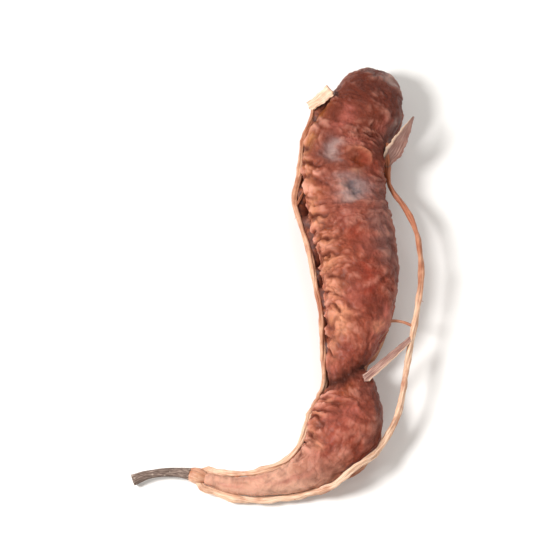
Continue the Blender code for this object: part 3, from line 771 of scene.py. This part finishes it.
def skin_tree():
    """Wrinkles, lumps and pits of dried flesh, raised square to the surface. Sizes are in millimetres."""
    sizes = {
        "Ridge Pitch": 3.6,
        "Ridge Depth": 0.85,
        "Fold Pitch": 2.9,
        "Fold Depth": 0.36,
        "Fine Pitch": 1.35,
        "Fine Depth": 0.3,
        "Lump Size": 5.0,
        "Lump Depth": 1.1,
        "Knob Size": 2.1,
        "Knob Depth": 0.8,
        "Streak Depth": 0.3,
        "Pit Spacing": 3.0,
        "Pit Depth": 0.36,
    }
    tree, given = new_tree("wrinkled_flesh", sizes)
    node = partial(add, tree)
    straight = node(READ, {"Name": "straight"}, data_type="FLOAT_VECTOR")
    marks = ("ridge_run", "ridged", "plain", "pitted", "fade")
    place = {name: node(READ, {"Name": name}, data_type="FLOAT") for name in marks}

    # A slow drift bends every wrinkle, so that none runs dead straight.
    drift = node(NOISE, {"Vector": straight, "Scale": 0.15, "Detail": 2.0}).outputs["Color"]
    drift = node(VECTOR_MATH, (drift, (0.5, 0.5, 0.5)), operation="SUBTRACT")
    bent = node(VECTOR_MATH, (drift, (7.0, 7.0, 7.0), straight), operation="MULTIPLY_ADD")
    lengthwise = node("ShaderNodeSeparateXYZ", (drift,))

    # Ridges across the inner margin: round crests with narrow creases between, some deep and some faint.
    wave = node(MATH, (lengthwise, 8.0, place["ridge_run"]), operation="MULTIPLY_ADD")
    steps = (("DIVIDE", given["Ridge Pitch"]), ("MULTIPLY", math.pi), ("SINE", 0.0), ("ABSOLUTE", 0.0))
    for operation, other in steps:
        wave = node(MATH, (wave, other), operation=operation)
    broken = node(VECTOR_MATH, (straight, (0.34, 0.3, 0.3)), operation="MULTIPLY")
    broken = node(NOISE, {"Vector": broken, "Scale": 1.0, "Detail": 1.0})
    strength = node(RANGE, {"Value": broken, "From Min": 0.36, "From Max": 0.56, "To Min": 0.2})
    strength = node(MATH, (strength, place["ridged"]), operation="MULTIPLY")
    height = wave
    depth = given["Ridge Depth"]
    steps = (("POWER", 0.55), ("SUBTRACT", 0.7), ("MULTIPLY", strength), ("MULTIPLY", depth))
    for operation, other in steps:
        height = node(MATH, (height, other), operation=operation)
    # Only the lowest part of each wave is painted dark, as shade in its crease.
    crease = node(RANGE, {"Value": wave, "From Min": 0.62, "From Max": 0.1, "To Max": 0.85})
    crease = node(MATH, (crease, strength), operation="MULTIPLY")

    # Puckers: where a stretched noise passes its middle is a sharp crease, with a pillow on each side. Each
    # crease is painted dark along its line, as shade.
    everywhere = node(MATH, (place["ridged"], 0.38, 0.62), operation="MULTIPLY_ADD")
    for kind, stretch, dark in (("Fold", 0.6, 0.52), ("Fine", 0.8, 0.2)):
        drawn = node(VECTOR_MATH, (bent, (1.0, stretch, stretch)), operation="MULTIPLY")
        scale = node(MATH, (0.8, given[kind + " Pitch"]), operation="DIVIDE")
        off = node(NOISE, {"Vector": drawn, "Scale": scale, "Detail": 1.0})
        for operation, other in (("SUBTRACT", 0.5), ("ABSOLUTE", 0.0)):
            off = node(MATH, (off, other), operation=operation)
        spread = {"Value": off, "From Max": 0.16, "To Min": -0.6, "To Max": 0.4}
        pillow = node(RANGE, spread, interpolation_type="SMOOTHERSTEP")
        pillow = node(MATH, (pillow, everywhere), operation="MULTIPLY")
        height = node(MATH, (pillow, given[kind + " Depth"], height), operation="MULTIPLY_ADD")
        line = node(RANGE, {"Value": off, "From Min": 0.035, "From Max": 0.0, "To Max": dark})
        line = node(MATH, (line, everywhere), operation="MULTIPLY")
        crease = node(MATH, (crease, line), operation="MAXIMUM")

    # Lumps and small knobs all over, and faint streaks lengthwise on the plain outer side.
    for kind in ("Lump", "Knob"):
        scale = node(MATH, (1.0, given[kind + " Size"]), operation="DIVIDE")
        lump = node(NOISE, {"Vector": straight, "Scale": scale, "Detail": 1.0})
        lump = node(MATH, (lump, 0.5), operation="SUBTRACT")
        height = node(MATH, (lump, given[kind + " Depth"], height), operation="MULTIPLY_ADD")
    drawn = node(VECTOR_MATH, (bent, (0.06, 0.9, 0.9)), operation="MULTIPLY")
    streak = node(NOISE, {"Vector": drawn, "Scale": 1.0, "Detail": 2.0})
    for operation, other in (("SUBTRACT", 0.5), ("MULTIPLY", place["plain"])):
        streak = node(MATH, (streak, other), operation=operation)
    height = node(MATH, (streak, given["Streak Depth"], height), operation="MULTIPLY_ADD")

    # Small round pits, at about every other place of a loose grid. They are sunk, and painted dark as
    # shade.
    scale = node(MATH, (1.0, given["Pit Spacing"]), operation="DIVIDE")
    holes = node("ShaderNodeTexVoronoi", {"Vector": straight, "Scale": scale})
    chosen = node("ShaderNodeSeparateXYZ", (holes.outputs["Color"],))
    chosen = node(MATH, (chosen, 0.5), operation="GREATER_THAN")
    rim = {"Value": holes, "From Min": 0.26, "From Max": 0.1}
    pit = node(RANGE, rim, interpolation_type="SMOOTHSTEP")
    for other in (chosen, place["pitted"]):
        pit = node(MATH, (pit, other), operation="MULTIPLY")
    sunk = node(MATH, (pit, given["Pit Depth"]), operation="MULTIPLY")
    height = node(MATH, (height, sunk), operation="SUBTRACT")

    # The marks that the colours follow. The crests are painted light as highlight, and the valleys, creases
    # and pits are painted dark as shade.
    painted_light_share = node(MATH, (place["ridged"], 0.4, 0.42), operation="MULTIPLY_ADD")
    crest = node(RANGE, {"Value": height, "From Min": 0.0, "From Max": 0.5})
    valley = node(RANGE, {"Value": height, "From Min": -0.04, "From Max": -0.5})
    marks = {"pit": pit}
    shares = (("crease", crease, place["fade"]), ("crest", crest, painted_light_share), ("valley", valley, painted_light_share))
    for name, mark, share in shares:
        marks[name] = node(MATH, (mark, share), operation="MULTIPLY")
    shape = given["Geometry"]
    for name, mark in marks.items():
        stored = {"Geometry": shape, "Name": name, "Value": mark}
        shape = node(STORE, stored, data_type="FLOAT", domain="POINT")

    for factor in (place["fade"], MM):
        height = node(MATH, (height, factor), operation="MULTIPLY")
    normal = node("GeometryNodeInputNormal")
    raised = node(VECTOR_MATH, {0: normal, "Scale": height}, operation="SCALE")
    shape = node(MOVE, {"Geometry": shape, "Offset": raised})

    # The table presses the underside flat.
    where = node("ShaderNodeSeparateXYZ", (node("GeometryNodeInputPosition"),)).outputs
    rest = node(MATH, (where["Z"], 0.0), operation="MAXIMUM")
    pressed = node("ShaderNodeCombineXYZ", {"X": where["X"], "Y": where["Y"], "Z": rest})
    return ended(tree, node(MOVE, {"Geometry": shape, "Position": pressed}), given["Material"])


def make_pulp(material):
    """Rings of points along the spine, with a point at each end, and the marks that its looks follow."""
    share = np.arange(1, LONG_STEPS) / LONG_STEPS
    share = np.concatenate([[0.0], np.repeat(share, ROUND_STEPS), [1.0]])
    along = LENGTH * ((1.0 - CROWDING) * share + CROWDING * (1.0 - np.cos(share * math.pi)) / 2)
    angle = turn_from(2 * math.pi * np.arange(ROUND_STEPS) / ROUND_STEPS, 90.0)
    angle = np.concatenate([[0.0], np.tile(angle, LONG_STEPS - 1), [0.0]])
    first = 1 + np.arange(len(along) - 2).reshape(-1, ROUND_STEPS)
    second = np.roll(first, -1, axis=1)
    sides = np.stack([second[:-1], second[1:], first[1:], first[:-1]], axis=-1).reshape(-1, 4).tolist()
    tip = [(0, b, a) for a, b in zip(first[0], second[0])]
    neck = [(len(along) - 1, a, b) for a, b in zip(first[-1], second[-1])]
    mesh = bpy.data.meshes.new("pulp_body")
    mesh.from_pydata((pulp_points(along, angle) * MM).tolist(), [], tip + sides + neck)

    half_width, half_height = smooth(SPINE_AT, SPINE, along)[:, 3:].T
    ends = cap(along, TIP_CAP) * cap(LENGTH - along, NECK_CAP)
    off_margin = np.abs(turn_from(angle, 180.0)) * (half_width + half_height) / 2 * ends
    bent_along = along + waves(along, angle, ALONG_WAVES)
    bent_angle = angle + waves(along, angle, ROUND_WAVES)
    inner = bump(turn_from(bent_angle, INNER_COLOUR[0]), INNER_COLOUR[1])
    ridged = 1.3 * bump(turn_from(angle, INNER_RIDGES[0]), INNER_RIDGES[1])
    shoulder, tail = rise(along, *SHOULDER), rise(along, *TAIL)
    marks = {
        "ridged": np.clip(ridged, 0.0, 1.0) * np.sqrt(shoulder) * (1.0 - 0.75 * tail),
        "plain": 1.0 - inner,
        "pitted": bump(turn_from(angle, INNER_PITS[0]), INNER_PITS[1]) * bump(along - 36.0, 26.0),
        "fade": np.clip(half_width / FULL_RELIEF_WIDTH, 0.12, 1.0) * (0.25 + 0.75 * ends),
        "inner_side": 0.75 * inner * shoulder * (1.0 - tail),
        "tip_end": 0.9 * (1.0 - rise(bent_along, *TIP_END)) ** 0.7,
        "neck_end": 0.92 * rise(bent_along, *NECK_END),
        # the fold is painted dark along its line, as shade in it
        "fold_shade": 0.9 * bump(past_fold(along, angle), 1.6),
    }
    for name, spots in OWN_SPOTS.items():
        marks[name] = sum(share * patch(bent_along, bent_angle, *spot) for *spot, share in spots)
    # The shoulder's arc ridge is tinted rosy, and lightened peach along it as painted highlight.
    own_arc = arc_ridge(along, angle, *SHOULDER_ARC)
    marks["rosy"] += 0.7 * own_arc
    marks["peach_highlight"] += 0.5 * own_arc
    for name, values in marks.items():
        set_attribute(mesh, name, np.clip(values, 0.0, 1.0))
    # Places on the pulp as if it were straight, and the run that the cross ridges are counted along.
    set_attribute(mesh, "ridge_run", along - RIDGE_LEAN * off_margin)
    across, above = half_width * ends * np.cos(angle), half_height * ends * np.sin(angle)
    set_attribute(mesh, "straight", np.column_stack([along, across, above]))
    return grown(placed("pulp_body", mesh), skin_tree(), material=material)


# ---------- strings


def bundle_tree():
    """A bundle of twisted strands along each route, as thick in all as the route's own radius."""
    tree, given = new_tree("strand_bundle", {"Strands": 4, "Turn": 90.0, "Wander": 0.35})
    node = partial(add, tree)
    amount = {"Geometry": given["Geometry"], "Amount": given["Strands"]}
    copies = node("GeometryNodeDuplicateElements", amount, domain="SPLINE").outputs
    stored = {"Geometry": copies["Geometry"], "Name": "strand", "Value": copies["Duplicate Index"]}
    split = node(STORE, stored, data_type="FLOAT", domain="CURVE")
    strand = node(READ, {"Name": "strand"}, data_type="FLOAT")
    ran = node("GeometryNodeSplineParameter").outputs
    radius = node("GeometryNodeInputRadius")

    # Each strand keeps its own place round the middle and turns slowly about it.
    noise = {"Vector": node("GeometryNodeInputPosition"), "W": strand, "Scale": 160.0, "Detail": 1.0}
    wave = node(NOISE, noise, noise_dimensions="4D")
    wave = node(MATH, (wave, 0.5), operation="SUBTRACT")
    turn = node(MATH, (ran["Length"], given["Turn"]), operation="MULTIPLY")
    loose = node(MATH, (wave, 3.0, turn), operation="MULTIPLY_ADD")
    share = node(MATH, (strand, given["Strands"]), operation="DIVIDE")
    angle = node(MATH, (share, 2 * math.pi, loose), operation="MULTIPLY_ADD")
    normal = node("GeometryNodeInputNormal")
    tangent = node("GeometryNodeInputTangent")
    side = node(VECTOR_MATH, (tangent, normal), operation="CROSS_PRODUCT")
    parts = []
    for way, operation in ((normal, "COSINE"), (side, "SINE")):
        size = node(MATH, (angle,), operation=operation)
        parts.append(node(VECTOR_MATH, {0: way, "Scale": size}, operation="SCALE"))
    out = node(VECTOR_MATH, (parts[0], parts[1]), operation="ADD")
    spread = node(MATH, (wave, given["Wander"], 0.46), operation="MULTIPLY_ADD")
    spread = node(MATH, (spread, radius), operation="MULTIPLY")
    offset = node(VECTOR_MATH, {0: out, "Scale": spread}, operation="SCALE")
    laid = node(MOVE, {"Geometry": split, "Offset": offset})

    # Strands thicken and thin along their way.
    swell = node(MATH, (wave, 0.5, 0.56), operation="MULTIPLY_ADD")
    swell = node(MATH, (swell, radius), operation="MULTIPLY")
    thick = node("GeometryNodeSetCurveRadius", {"Curve": laid, "Radius": swell})
    ring = node("GeometryNodeCurvePrimitiveCircle", {"Resolution": 8, "Radius": 1.0})
    run, turned = (
        node(STORE, {"Geometry": curve, "Name": name, "Value": value}, data_type="FLOAT", domain="POINT")
        for curve, name, value in ((thick, "run", ran["Length"]), (ring, "round", ran["Factor"]))
    )
    profile = {"Curve": run, "Profile Curve": turned, "Scale": radius, "Fill Caps": True}
    tube = node("GeometryNodeCurveToMesh", profile)

    # Where a point lies on its strand, for the lengthwise fibres: millimetres along, and round it.
    run, angle = (
        node(MATH, (node(READ, {"Name": name}, data_type="FLOAT"), factor), operation="MULTIPLY")
        for name, factor in (("run", 1.0 / MM), ("round", 2 * math.pi))
    )
    cosine, sine = (node(MATH, (angle,), operation=operation) for operation in ("COSINE", "SINE"))
    apart = node(MATH, (strand, 5.0, cosine), operation="MULTIPLY_ADD")
    where = node("ShaderNodeCombineXYZ", {"X": run, "Y": apart, "Z": sine})
    stored = {"Geometry": tube, "Name": "fibre", "Value": where}
    return ended(tree, node(STORE, stored, data_type="FLOAT_VECTOR", domain="POINT"), given["Material"])


def neck_frame():
    """The middle of the collar, the way on from the neck and the way to the neck's outer side."""
    end = SPINE[-1, :3] + MIDDLE
    ahead = unit(SPINE[-1, :3] - SPINE[-2, :3])
    return end + ahead * (JOINT_GAP + COLLAR_LENGTH / 2), ahead, unit(np.cross(UP, ahead))


def surface_of(obj):
    """The object's surface, to find the nearest places on it in millimetres."""
    corners = [v.co / MM for v in obj.data.vertices]
    return BVHTree.FromPolygons(corners, [p.vertices[:] for p in obj.data.polygons])


def kept_clear(points, radii, pulp):
    """Moves each point out until a tube of its radius stands clear of the pulp and of the table."""
    moved = []
    for place, radius in zip(points, radii):
        place = Vector(place)
        floor = FLOOR_ROOM * radius + TABLE_GAP
        for _ in range(8):
            place.z = max(place.z, floor)
            near, normal, _, distance = pulp.find_nearest(place)
            if (place - near).dot(normal) < 0:
                way, short = normal.copy(), radius + STRING_GAP + distance
            else:
                way, short = (place - near).normalized(), radius + STRING_GAP - distance
            if short <= 0:
                break
            if place.z <= floor:
                way.z = max(way.z, 0.0)
            place += way.normalized() * short
        moved.append(place)
    return np.array(moved)


def followed(route, step):
    """A route along the pulp in steps of about this length: along, angle in radians, and lift."""
    along, turn, lift = resampled(np.array(route, float) * (1.0, DEGREE_LENGTH, 1.0), step).T
    return along, np.radians(turn / DEGREE_LENGTH), lift


def on_pulp(route, radius):
    """Points that follow the pulp, a string's radius off it."""
    along, angle, lift = followed(route, STEP_ALONG)
    return lifted(along, angle, lift + radius + STRING_GAP)


def foot(along, angle, depth=FOOT_DEPTH):
    """A place at this depth in the pulp, where a branch ends. The angle is in degrees."""
    return lifted(along, math.radians(angle), -depth)[0]


def string_route(points, start, end, pulp):
    """A string's route with its radii: it swells and thins a little, and stays clear of the pulp."""
    at = np.arange(len(points)) * STEP_ALONG / 2.0
    knots = 1.0 + 0.08 * np.sin(1.9 * at) + 0.08 * np.sin(0.7 * at + 1.0) + 0.05 * np.sin(4.3 * at)
    tip = np.clip(np.arange(len(points)) / 9.0 + 0.25, 0.0, 1.0)
    radii = np.linspace(start, end, len(points)) * knots * np.sqrt(tip)
    return kept_clear(softened(points, 8), radii, pulp), radii


def branch_route(start, end, sag, radii):
    """A short route between two points, bowed by the sag, with its radii."""
    start, end, sag = np.array(start, float), np.array(end, float), np.array(sag, float)
    share = np.linspace(0.0, 1.0, max(6, round(np.linalg.norm(end - start) / 0.5) + 1))[:, None]
    points = start + (end - start) * share + sag * 4 * share * (1 - share)
    return points, np.linspace(radii[0], radii[1], len(points))


def vein_routes(pulp):
    """The fine veins that cling to the pulp, half sunk in it, each thinning to its end."""
    chains = []
    for places, radius in FINE_VEINS:
        along, turn = np.array(places, float).T
        # The angle is unrolled, so that a vein takes the short way round.
        turn = np.unwrap(turn, period=360.0)
        along, angle, _ = followed(np.column_stack([along, turn, np.zeros(len(turn))]), 0.5)
        points = lifted(along, angle, radius)
        for point in points:
            near, normal, _, _ = pulp.find_nearest(Vector(point))
            point[:] = near + normal * radius * 0.3
            point[2] = max(point[2], radius + 0.02)
        points = softened(points, 4)
        chains.append((points, radius * np.linspace(1.0, 0.45, len(points))))
    return chains


def tie_routes(points, radii, pulp, draw):
    """Short threads of flesh that still bridge the gap from a string to the pulp."""
    chains = []
    last = len(points) - 1
    for place in np.linspace(0.1, 0.93, TIE_COUNT) + draw.uniform(-0.025, 0.025, TIE_COUNT):
        index = int(place * last)
        aim = Vector(points[min(index + draw.integers(-3, 4), last)])
        near, normal, _, distance = pulp.find_nearest(aim)
        if distance >= radii[index] + 0.25:
            thick = draw.uniform(0.13, 0.24)
            sag = (0.0, 0.0, draw.uniform(-0.2, 0.3))
            chains.append(branch_route(points[index], near - normal * 0.3, sag, (thick, thick * 1.5)))
    return chains


def fibril_routes(points, draw):
    """Fine torn fibres that stand off a string, each bent by its own weight."""
    chains = []
    reach = np.linspace(0.0, 1.0, 8)[:, None]
    for _ in range(FIBRIL_COUNT):
        index = int(draw.uniform(0.08, 0.9) * (len(points) - 2))
        along = unit(points[index + 1] - points[index])
        away = np.cross(along, draw.normal(size=3))
        away[2] = abs(away[2])
        length = draw.uniform(0.6, 1.4)
        lean = draw.uniform(0.5, 1.3)
        route = points[index] + reach * length * (unit(away) + lean * along) / (1 + lean)
        route += reach**2 * length * 0.35 * draw.normal(size=3) * (1.0, 1.0, 0.5)
        route[:, 2] = np.maximum(route[:, 2], TABLE_GAP + 0.1)
        chains.append((route, np.linspace(0.16, 0.07, len(route))))
    return chains


def closed(name, mesh, rings, material):
    """An object of rings of vertices, joined into a tube with closed ends."""
    count = len(rings[0])
    for first, second in zip(rings, rings[1:]):
        for k in range(count):
            mesh.faces.new((first[k], first[(k + 1) % count], second[(k + 1) % count], second[k]))
    mesh.faces.new(rings[0][::-1])
    mesh.faces.new(rings[-1])
    bmesh.ops.triangulate(mesh, faces=mesh.faces[-2:])
    mesh.normal_update()
    if mesh.calc_volume(signed=True) < 0:
        bmesh.ops.reverse_faces(mesh, faces=mesh.faces)
    for face in mesh.faces:
        face.smooth = True
    data = bpy.data.meshes.new(name)
    mesh.to_mesh(data)
    mesh.free()
    data.materials.append(material)
    return placed(name, data)


def strip(name, route, half_widths, thickness, dish, ragged, material, draw):
    """A closed flat strip along a route, dished across, with its edges uneven and its ends torn."""
    ahead = unit(np.gradient(route, axis=0))
    side = unit(np.cross(ahead, UP))
    face = np.cross(side, ahead)
    turn = 2 * math.pi * np.arange(STRIP_SIDES) / STRIP_SIDES
    across = np.sign(np.cos(turn)) * np.abs(np.cos(turn)) ** 0.7
    starts = draw.uniform(0.0, 2 * math.pi, 6)
    tear = sum(np.sin((4.0 + 3.0 * k) * across + starts[k]) / (1 + k) for k in range(3))
    run = distances(route)
    uneven = 0.06 * np.sin(2.1 * run + starts[3]) + 0.04 * np.sin(5.3 * run + starts[4])
    widths = half_widths * (1.0 + uneven)
    mesh = bmesh.new()
    rings = []
    for i, done in enumerate(np.linspace(0.0, 1.0, len(route))):
        torn = ragged * (done**6 * tear - (1 - done) ** 6 * tear[::-1])
        ridges = 0.12 * thickness * np.sin(9.0 * across + starts[5] + 0.4 * run[i])
        high = thickness * np.sin(turn) * (1.0 + 0.2 * np.sin(1.7 * run[i])) + ridges
        high += dish * half_widths[i] * across**2
        wide = widths[i] * across
        points = route[i] + wide[:, None] * side[i] + high[:, None] * face[i] + torn[:, None] * ahead[i]
        rings.append([mesh.verts.new(point * MM) for point in points])
    made = closed(name, mesh, rings, material)
    rows = len(route)
    fibre = [np.repeat(run, STRIP_SIDES), np.tile(across * 2.5, rows), np.tile(np.sin(turn), rows)]
    set_attribute(made.data, "fibre", np.column_stack(fibre))
    return made


def make_tab(centre, way, material, draw):
    """The flat, torn end of the inner string, whose two ends curl up a little."""
    share = np.linspace(-0.5, 0.5, 30)[:, None]
    route = centre + share * TAB_LENGTH * way
    route[:, 2] += 0.5 * (2 * share[:, 0]) ** 2
    return strip("torn_tab", route, 1.3 + 0.3 * share[:, 0], 0.4, 0.2, 0.12, material, draw)


def make_shade_web(points, pulp, material, draw):
    """Dried flesh that fills the groove between the inner string and the pulp: a dark sheet of painted
    shade in the gap.
    """
    mesh = bmesh.new()
    rings = []
    starts = draw.uniform(0.0, 2 * math.pi, 2)
    run = distances(points)
    for i in range(int(WEB_END * len(points))):
        centre = Vector(points[i])
        near, normal, _, _ = pulp.find_nearest(centre)
        ring = []
        for k in range(WEB_SIDES):
            turn = 2 * math.pi * k / WEB_SIDES
            share = 0.5 - 0.5 * math.cos(turn)
            thick = (0.34 + 0.5 * share) * math.sin(turn)
            lump = math.sin(2.2 * run[i] + 3.0 * turn + starts[0])
            lump += math.sin(4.1 * run[i] - 2.0 * turn + starts[1])
            place = centre.lerp(near - normal * WEB_SINK, share)
            place.z = max(place.z + thick * (1.0 + 0.22 * lump) - 0.25, TABLE_GAP)
            ring.append(mesh.verts.new(place * MM))
        rings.append(ring)
    return closed("flesh_web_shade", mesh, rings, material)


def stain(mesh, shares):
    """Marks how far flesh has stained each point of a string, from shares at places along the pod."""
    places = np.empty(len(mesh.vertices) * 3, np.float32)
    mesh.vertices.foreach_get("co", places)
    set_attribute(mesh, "stained", np.interp(places[1::3] / MM, *zip(*shares)))


def make_strings(pulp, tree):
    """The strings with their branches, threads and scraps, and the dark flesh beside the inner string,
    painted shade in its groove.
    """
    material, scrap = string_material(), skin_scrap_material()
    draw = np.random.default_rng(SEED)
    bow = np.array(BOW) + MIDDLE
    tab = np.array(TAB_CENTRE) + MIDDLE
    way = unit(np.array(TAB_WAY))
    collar, ahead, _ = neck_frame()
    root = tab + TAB_ROOT[0] * way + TAB_ROOT[1] * UP
    inner = np.vstack([root, on_pulp(INNER_ROUTE, STRING_RADIUS), collar])
    outer = np.vstack([on_pulp(BOW_START, THIN_RADIUS), bow, on_pulp(BOW_END, STRING_RADIUS), collar])
    inner = string_route(resampled(inner, STEP_ALONG), THIN_RADIUS + 0.15, STRING_RADIUS + 0.14, pulp)
    outer = string_route(resampled(outer, STEP_ALONG), THIN_RADIUS + 0.17, STRING_RADIUS + 0.18, pulp)
    under = string_route(on_pulp(UNDER_ROUTE, THIN_RADIUS), THIN_RADIUS, STRING_RADIUS, pulp)
    index, *at = THIN_BRANCH
    thin = branch_route(bow[index], foot(*at), (0.0, 0.8, -0.3), (0.34, 0.42))
    twigs = [
        branch_route(under[0][index], foot(*at), (0.0, 0.0, 0.3), (0.36, 0.26))
        for index, *at in UNDER_TWIGS
    ]
    knob = collar + ahead * np.linspace(*COLLAR_ENDS, len(COLLAR_SHAPE))[:, None]

    # Each bundle's name, routes, number of strands and turn, in radians to the metre.
    bundles = (
        ("inner_string", [inner], 4, 90.0),
        ("outer_string", [outer], 4, 90.0),
        ("under_string", [under], 4, 90.0),
        ("thin_branch", [thin], 3, 60.0),
        ("under_twigs", twigs, 3, 60.0),
        ("collar", [(knob, COLLAR_RADIUS * np.array(COLLAR_SHAPE))], 11, 160.0),
        ("fine_veins", vein_routes(pulp), 1, 0.0),
        ("flesh_ties", tie_routes(*inner, pulp, draw), 2, 200.0),
        ("torn_fibrils", fibril_routes(inner[0], draw) + fibril_routes(outer[0], draw), 1, 0.0),
    )
    pieces = [
        grown(routes(name, chains), tree, strands=strands, turn=turn, material=material)
        for name, chains, strands, turn in bundles
    ]
    pieces.append(make_tab(tab, way, material, draw))
    # The scrap of skin, and the flat torn strip that still ties the bow to the pulp at the fold.
    rows = resampled(FLAP_ROUTE, 0.25)
    pieces.append(strip("skin_scrap", rows[:, :3] + MIDDLE, rows[:, 3], 0.16, 0.45, 0.2, scrap, draw))
    index, *at = WIDE_BRANCH
    route, widths = branch_route(bow[index], foot(*at, -0.1), (0.8, 0.6, 0.2), (0.62, 1.05))
    pieces.append(strip("torn_bridge", route, widths, 0.34, 0.3, 0.3, scrap, draw))
    for piece in pieces:
        stain(piece.data, STAINS[piece.name])
    under_tab = [tab + on * way - 0.5 * UP for on in (1.9, 0.9, -0.1, -1.1)]
    return pieces, make_shade_web(np.vstack([under_tab, inner[0]]), pulp, shade_web_material(), draw)


# ---------- stalk


def make_stalk(tree):
    """A short woody stub that bends down, swollen at its foot and at the scar where it broke off."""
    collar, ahead, outward = neck_frame()
    base = collar + ahead * (COLLAR_LENGTH / 2)
    on, aside = np.array(STALK_ROUTE).T
    points = base + on[:, None] * ahead + aside[:, None] * outward
    points[:, 2] = base[2] + (STALK_END_HEIGHT - base[2]) * on / on[-1]
    knots = distances(points)
    route = resampled(points, STALK_STEP)
    radii = smooth(knots, np.array(STALK_RADII), np.linspace(0.0, knots[-1], len(route)))
    stub = routes("stalk_stub", [(route, radii)])
    return grown(stub, tree, strands=5, turn=40.0, wander=0.2, material=stalk_material())


# ---------- stage


def make_stage():
    floor = bmesh.new()
    bmesh.ops.create_grid(floor, x_segments=1, y_segments=1, size=TABLE_SIZE)
    mesh = bpy.data.meshes.new("table_top")
    floor.to_mesh(mesh)
    floor.free()
    board, _ = new_material("matt_white_board")
    mesh.materials.append(shaded(board, {"Base Color": linear("EFEDEA"), "Roughness": 0.9}))
    placed("table_top", mesh)


def aimed(name, data, place, target):
    """A camera or a light at a place, turned to look at its target."""
    obj = placed(name, data)
    obj.location = place
    obj.rotation_euler = (Vector(place) - target).to_track_quat("Z", "Y").to_euler()
    return obj


def make_camera_and_lights():
    scene = bpy.context.scene
    low, high = (Vector(corner) for corner in CAD_BOX)
    target = (low + high) / 2
    angle = math.radians(CAMERA_ANGLE)
    away = Vector((0.0, -math.cos(angle), math.sin(angle)))
    camera = bpy.data.cameras.new("camera")
    camera.lens = CAMERA_LENS
    camera.sensor_width = CAMERA_SENSOR
    camera.clip_start = 0.01
    scene.camera = aimed("camera", camera, target + away * CAMERA_DISTANCE, target)
    for name, place, size, power in LIGHTS:
        light = bpy.data.lights.new(name, "AREA")
        light.shape = "DISK"
        light.size = size
        light.energy = power
        aimed(name, light, place, target)
    scene.world = bpy.data.worlds.new("studio")
    scene.world.use_nodes = True
    tree = scene.world.node_tree
    feed(tree, tree.nodes["Background"], {"Color": linear("FBF6F0"), "Strength": ROOM_LIGHT})
    scene.view_settings.view_transform = "Standard"


# ---------- the pod


def main():
    make_camera_and_lights()
    make_stage()
    pulp = finished(make_pulp(pulp_material()), "dried_pulp", "pulp")
    tree = bundle_tree()
    strings, web = make_strings(surface_of(pulp), tree)
    for piece in strings:
        finished(piece, "dry_string", "strings")
    finished(web, "dried_pulp", "strings")
    finished(make_stalk(tree), "stalk_bark", "stalk")


main()
